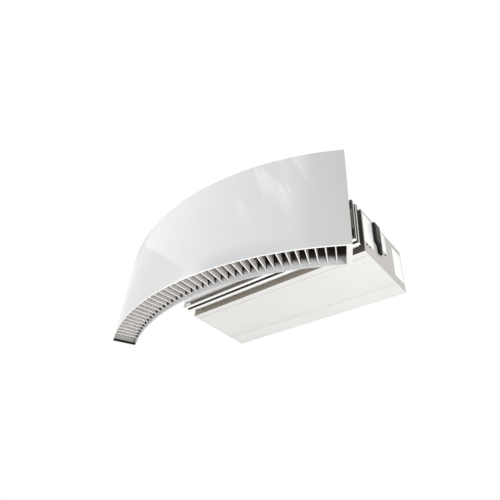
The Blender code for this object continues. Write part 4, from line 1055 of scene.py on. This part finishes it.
def boltThrough(length, across):
    # a hexagon bolt with washers and a nut, drawn along +Z from the head's underside
    parts = []
    corner = across / 2 / math.cos(math.pi / 6)
    hexagon = [(corner * math.cos(math.pi * i / 3), corner * math.sin(math.pi * i / 3)) for i in range(6)]
    for level, height in ((0.0, bolt["head"]), (-length - bolt["nut"], bolt["nut"])):
        work = prism(hexagon, "z", level, level + height)
        roundEdges(work, 0.0006, 1)
        parts.append(fromWork("hex", work))
    reach, thick = across * bolt["washerShare"], bolt["washer"]
    for level in (-thick, -length):
        parts.append(fromWork("washer", lathe([(0.0, level), (reach, level), (reach, level + thick),
                                               (0.0, level + thick)], 20)))
    end, radius, bevel = -length - bolt["tail"], bolt["shank"], bolt["tailBevel"]
    parts.append(fromWork("shank", lathe([(0.0, end), (radius - bevel, end), (radius, end + 2 * bevel),
                                          (radius, 0.0), (0.0, 0.0)], 14)))
    return merge("bolt", parts)


toBack, toLeft, toRight, toTop = (0.0, 1.0, 0.0), (-1.0, 0.0, 0.0), (1.0, 0.0, 0.0), (0.0, 0.0, 1.0)
fixing = {"rivetColumns": 11, "rivetRows": 5, "rivetMargin": 0.05, "rivetInset": 0.008, "rivetEdge": 0.014,
          "sideInset": 0.010, "sideEdge": 0.009, "screwInset": 0.038, "screwRise": 0.045,
          "cornerInset": 0.018, "cornerRise": 0.030, "grilleScrews": 5, "grilleMargin": 0.02,
          "leafScrews": 3, "leafStart": 0.010, "leafPitch": 0.020, "leafInset": 0.008, "leafSheet": 0.0012,
          "rivet": (0.0024, 0.0010), "casingScrew": (0.0040, 0.0022), "leafScrew": (0.0026, 0.0014),
          "anyTurn": 6.28, "slotTurn": 3.1, "boltTurn": 1.0}


def spread(low, high, margin, count):
    # evenly spaced places between two ends, each kept off by a margin
    return [low + margin + (high - low - 2 * margin) * i / (count - 1) for i in range(count)]


flangeLow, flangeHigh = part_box("front_flange")
rearFlangeLow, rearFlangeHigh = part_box("rear_flange")
flange = {"boltSize": 0.010, "boltInset": 0.016, "boltRise": 0.0014, "boltSpare": 0.003, "corner": 0.0012,
          "cornerReach": 0.080, "cornerWidth": 0.026, "cornerInset": 0.003, "cornerCut": 0.006,
          "cornerNotch": 0.004}
boltSpots = []
for x in (flangeLow.x + flange["boltInset"], flangeHigh.x - flange["boltInset"]):
    for z in (flangeLow.z + flange["boltInset"], flangeHigh.z - flange["boltInset"]):
        boltSpots.append(((x, rearFlangeHigh.y + flange["boltRise"], z), toBack))
grip = rearFlangeHigh.y - flangeLow.y + flange["boltSpare"]
setFixings("flangeBolts", boltSpots, boltThrough(grip, flange["boltSize"]), "unit", "steel",
           fixing["boltTurn"], 5)

rivetSpots = []
inset, edge = fixing["rivetInset"], fixing["rivetEdge"]
for x in spread(-halfWidth, halfWidth, fixing["rivetMargin"], fixing["rivetColumns"]):
    rivetSpots += [((x, frontY + inset, 0.0), toTop), ((x, backY - inset, 0.0), toTop),
                   ((x, backY, -edge), toBack), ((x, backY, bottomZ + edge), toBack)]
for way, facing in ((-1, toLeft), (1, toRight)):
    for y in spread(frontY, backY, fixing["rivetMargin"], fixing["rivetRows"]):
        rivetSpots += [((way * (halfWidth - fixing["sideInset"]), y, 0.0), toTop),
                       ((way * halfWidth, y, -fixing["sideEdge"]), facing)]
setFixings("casingRivets", rivetSpots, rivetHead(*fixing["rivet"]), "unit", "white_sheet",
           fixing["anyTurn"], 2)

screwZ = bottomZ + fixing["screwRise"]
screwSpots = [((halfWidth, frontY + fixing["screwInset"], screwZ), toRight),
              ((-halfWidth, frontY + fixing["screwInset"], screwZ), toLeft),
              ((-halfWidth, backY - fixing["screwInset"], screwZ), toLeft),
              ((halfWidth, backY - fixing["cornerInset"], bottomZ + fixing["cornerRise"]), toRight)]
grilleMiddle = grille["rim"] / 2
for x in spread(-grilleHigh.x, grilleHigh.x, fixing["grilleMargin"], fixing["grilleScrews"]):
    for z in (grilleLow.z + grilleMiddle, grilleHigh.z - grilleMiddle):
        screwSpots.append(((x, grilleHigh.y, z), toBack))
setFixings("casingScrews", screwSpots, screwHead(*fixing["casingScrew"]), "unit", "steel",
           fixing["slotTurn"], 7)

for leaf, body, seed in (("hatch", "hatch", 9), ("fixed", "unit", 11)):
    leafScrews = []
    for side in ("left", "right"):
        low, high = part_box(f"hinge_leaf_{leaf}_{side}")
        y = low.y + fixing["leafInset"] if leaf == "hatch" else high.y - fixing["leafInset"]
        for i in range(fixing["leafScrews"]):
            x = low.x + fixing["leafStart"] + fixing["leafPitch"] * i
            leafScrews.append(((x, y, low.z + fixing["leafSheet"]), toTop))
    setFixings("leafScrews" + leaf.capitalize(), leafScrews, screwHead(*fixing["leafScrew"]), body, "steel",
               fixing["slotTurn"], seed)
print("fixings set")


# flange corner pieces: folded angle plates at the four corners of each flange

def cornerPlates():
    parts = []
    reach, width, inset = flange["cornerReach"], flange["cornerWidth"], flange["cornerInset"]
    short, notch = reach - flange["cornerCut"], width + flange["cornerNotch"]
    outline = [(inset, inset), (reach, inset), (short, width), (notch, width), (width, notch),
               (width, short), (inset, reach)]
    for low, high in ((flangeLow, flangeHigh), (rearFlangeLow, rearFlangeHigh)):
        faceY = low.y if low is flangeLow else high.y
        thick = -flange["corner"] if low is flangeLow else flange["corner"]
        for sx in (-1, 1):
            for sz in (-1, 1):
                cx = low.x if sx < 0 else high.x
                cz = low.z if sz < 0 else high.z
                work = prism([(cx - sx * a, cz - sz * b) for a, b in outline], "y",
                             *sorted((faceY, faceY + thick)))
                roundEdges(work, 0.0004, 1)
                parts.append(fromWork("corner", work))
    return merge("flangeCorners", parts)


setTo(smooth(cornerPlates()), "unit", "galvanised", (), "corner_steel")


# control board parts

control = {"firstY": 0.030, "columnPitch": 0.055, "columns": 3, "rowInset": 0.050, "postInset": 0.010,
           "standoff": 0.0135, "board": 0.0016, "sizes": (0.012, 0.016, 0.020), "clamps": 8,
           "clampPitch": 0.012, "clampFirst": 0.0045, "clampBack": 0.009}


def controlParts():
    low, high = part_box("control_board")
    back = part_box("control_tray")[0].x + control["standoff"]
    face = back + control["board"]
    board = prism([(low.y, low.z), (high.y, low.z), (high.y, high.z), (low.y, high.z)], "x", back, face)
    roundEdges(board, 0.0003, 1)
    plate = fromWork("boardPlate", board)
    setTo(smooth(plate), "unit", "circuit_board", ("control_board",))
    dark, metal, light = [], [], []
    for row, z in enumerate((low.z + control["rowInset"], high.z - control["rowInset"])):
        for column in range(control["columns"]):
            y = low.y + control["firstY"] + control["columnPitch"] * column
            kind = (row + column) % 3
            size = control["sizes"][kind]
            if kind == 1:
                work = lathe([(0.0, face), (size * 0.75, face), (size * 0.78, face + 0.002),
                              (size * 0.75, face + size * 0.95), (size * 0.68, face + size),
                              (0.0, face + size)], 24, "x")
                part = fromWork("can", work)
                part.data.transform(Matrix.Translation((0.0, y, z)))
                metal.append(part)
            else:
                wide, tall = size * 0.9, size * 0.7
                work = prism([(y - wide, z - tall), (y + wide, z - tall), (y + wide, z + tall),
                              (y - wide, z + tall)], "x", face, face + size * 0.8)
                roundEdges(work, 0.0012, 2)
                (dark if kind == 0 else light).append(fromWork("relay", work))
    inset = control["postInset"]
    for y in (low.y + inset, high.y - inset):
        for z in (low.z + inset, high.z - inset):
            work = lathe([(0.0, face - 0.013), (0.003, face - 0.013), (0.003, face), (0.0042, face + 0.0002),
                          (0.0040, face + 0.0018), (0.0020, face + 0.0024), (0.0, face + 0.0024)], 14, "x")
            part = fromWork("post", work)
            part.data.transform(Matrix.Translation((0.0, y, z)))
            metal.append(part)
    setTo(smooth(merge("boardRelays", dark)), "unit", "black_plastic")
    setTo(smooth(merge("boardCoils", light)), "unit", "grey_plastic")
    setTo(smooth(merge("boardCans", metal)), "unit", "steel")


controlParts()
blockLow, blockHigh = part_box("terminal_block")
clamp = screwHead(0.0030, 0.0016)
clamp.data.transform(Matrix.Rotation(math.radians(90), 4, "Y"))
clampY = (blockLow.y + blockHigh.y) / 2 - control["clampBack"]
clamps = inRow.run("terminalScrews", None,
                   {"Piece": clamp, "Count": control["clamps"],
                    "Start": (blockHigh.x, clampY, blockLow.z + control["clampFirst"]),
                    "Step": (0.0, 0.0, control["clampPitch"])}, finishes["steel"], (clamp,))
setTo(smooth(clamps), "unit", "steel")
print("controls built")


# small details on the casing's right side

detail = {"ribs": 5, "ribPitch": 0.009, "ribStart": 0.030, "ribInset": 0.012, "ribHalf": 0.0012,
          "ribHeight": 0.0016, "ribSink": 0.0004, "grommet": 0.0065, "grommetRise": 0.004,
          "grommets": (("front", 0.022, 0.016), ("front", 0.058, 0.014), ("middle", 0.066, 0.016))}


def lidRibs():
    # grip ribs moulded on the cable cover's lid
    low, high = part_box("connection_lid")
    half, tall = detail["ribHalf"], detail["ribHeight"]
    rib = fromWork("rib", prism([(-half, 0.0), (half, 0.0), (half / 2, tall), (-half / 2, tall)], "y",
                                low.y + detail["ribInset"], high.y - detail["ribInset"]))
    rib.data.transform(Matrix.Rotation(math.radians(90), 4, "Y"))
    row = inRow.run("lidRibs", None, {"Piece": rib, "Count": detail["ribs"],
                                      "Start": (high.x - detail["ribSink"], 0.0, low.z + detail["ribStart"]),
                                      "Step": (0.0, 0.0, detail["ribPitch"])},
                    finishes["grey_plastic"], (rib,))
    setTo(smooth(row), "unit", "grey_plastic")


def grommetShape():
    # a round rubber grommet with a dished middle
    radius, rise = detail["grommet"], detail["grommetRise"]
    return fromWork("grommet", lathe([(0.0, -0.0004), (radius, -0.0004), (radius, rise * 0.4),
                                      (radius * 0.8, rise), (radius * 0.55, rise),
                                      (radius * 0.35, rise * 0.3), (0.0, rise * 0.3)], 20))


lidRibs()
grommetSpots = []
for plate, back, drop in detail["grommets"]:
    low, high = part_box("side_plate_" + plate)
    grommetSpots.append(((halfWidth, low.y + back, low.z - drop), toRight))
setFixings("sideGrommets", grommetSpots, grommetShape(), "unit", "black_rubber", fixing["anyTurn"], 4)
print("side details built")


# stage, lights and camera

stage = {"floorZ": -3.4, "floorSize": 9.0, "worldStrength": 1.0, "light": (0.95, 0.95, 0.95),
         "dark": (0.92, 0.92, 0.92)}
floorWork = bmesh.new()
bmesh.ops.create_grid(floorWork, x_segments=8, y_segments=8, size=stage["floorSize"])
bmesh.ops.translate(floorWork, verts=floorWork.verts, vec=(0.0, 0.0, stage["floorZ"]))
floor = fromWork("studioFloor", floorWork)
floor.data.materials.append(studioFloor(stage["light"], stage["dark"]))

world = bpy.data.worlds.new("studioAir")
bpy.context.scene.world = world
world.use_nodes = True
air = world.node_tree.nodes["Background"]
air.inputs["Color"].default_value = (1.0, 1.0, 1.0, 1.0)
air.inputs["Strength"].default_value = stage["worldStrength"]

lamps = {
    "sideLamp": {"place": (3.2, -1.7, -2.6), "aim": (0.1, -0.9, -0.6), "size": 1.2, "power": 38.0},
    "frontLamp": {"place": (-2.5, -4.0, -0.4), "aim": (-0.2, -1.0, -0.4), "size": 2.5, "power": 14.0},
}
for name, lamp in lamps.items():
    light = bpy.data.lights.new(name, "AREA")
    light.shape = "DISK"
    light.size = lamp["size"]
    light.energy = lamp["power"]
    holder = bpy.data.objects.new(name, light)
    bpy.context.scene.collection.objects.link(holder)
    holder.location = lamp["place"]
    way = Vector(lamp["aim"]) - Vector(lamp["place"])
    holder.rotation_euler = way.to_track_quat("-Z", "Y").to_euler()

eye = {"place": (1.6677, -2.2911, -2.0179), "yaw": 43.0663, "pitch": 37.2732, "roll": 5.0517, "lens": 31.568,
       "shiftX": -0.0007, "shiftY": 0.0017, "sensor": 36.0, "far": 60.0}
yaw, pitch, roll = (math.radians(eye[key]) for key in ("yaw", "pitch", "roll"))
ahead = Vector((-math.sin(yaw) * math.cos(pitch), math.cos(yaw) * math.cos(pitch), math.sin(pitch)))
across = Vector((math.cos(yaw), math.sin(yaw), 0.0))
upward = across.cross(ahead)
rightWay = across * math.cos(roll) + upward * math.sin(roll)
upWay = -across * math.sin(roll) + upward * math.cos(roll)
camera = bpy.data.cameras.new("viewCamera")
camera.lens = eye["lens"]
camera.sensor_width = eye["sensor"]
camera.shift_x = eye["shiftX"]
camera.shift_y = eye["shiftY"]
camera.clip_end = eye["far"]
holder = bpy.data.objects.new("viewCamera", camera)
bpy.context.scene.collection.objects.link(holder)
pose = Matrix((rightWay, upWay, -ahead)).transposed().to_4x4()
pose.translation = Vector(eye["place"])
holder.matrix_world = pose
bpy.context.scene.camera = holder
bpy.context.scene.view_settings.view_transform = "Standard"
print("stage and camera set")
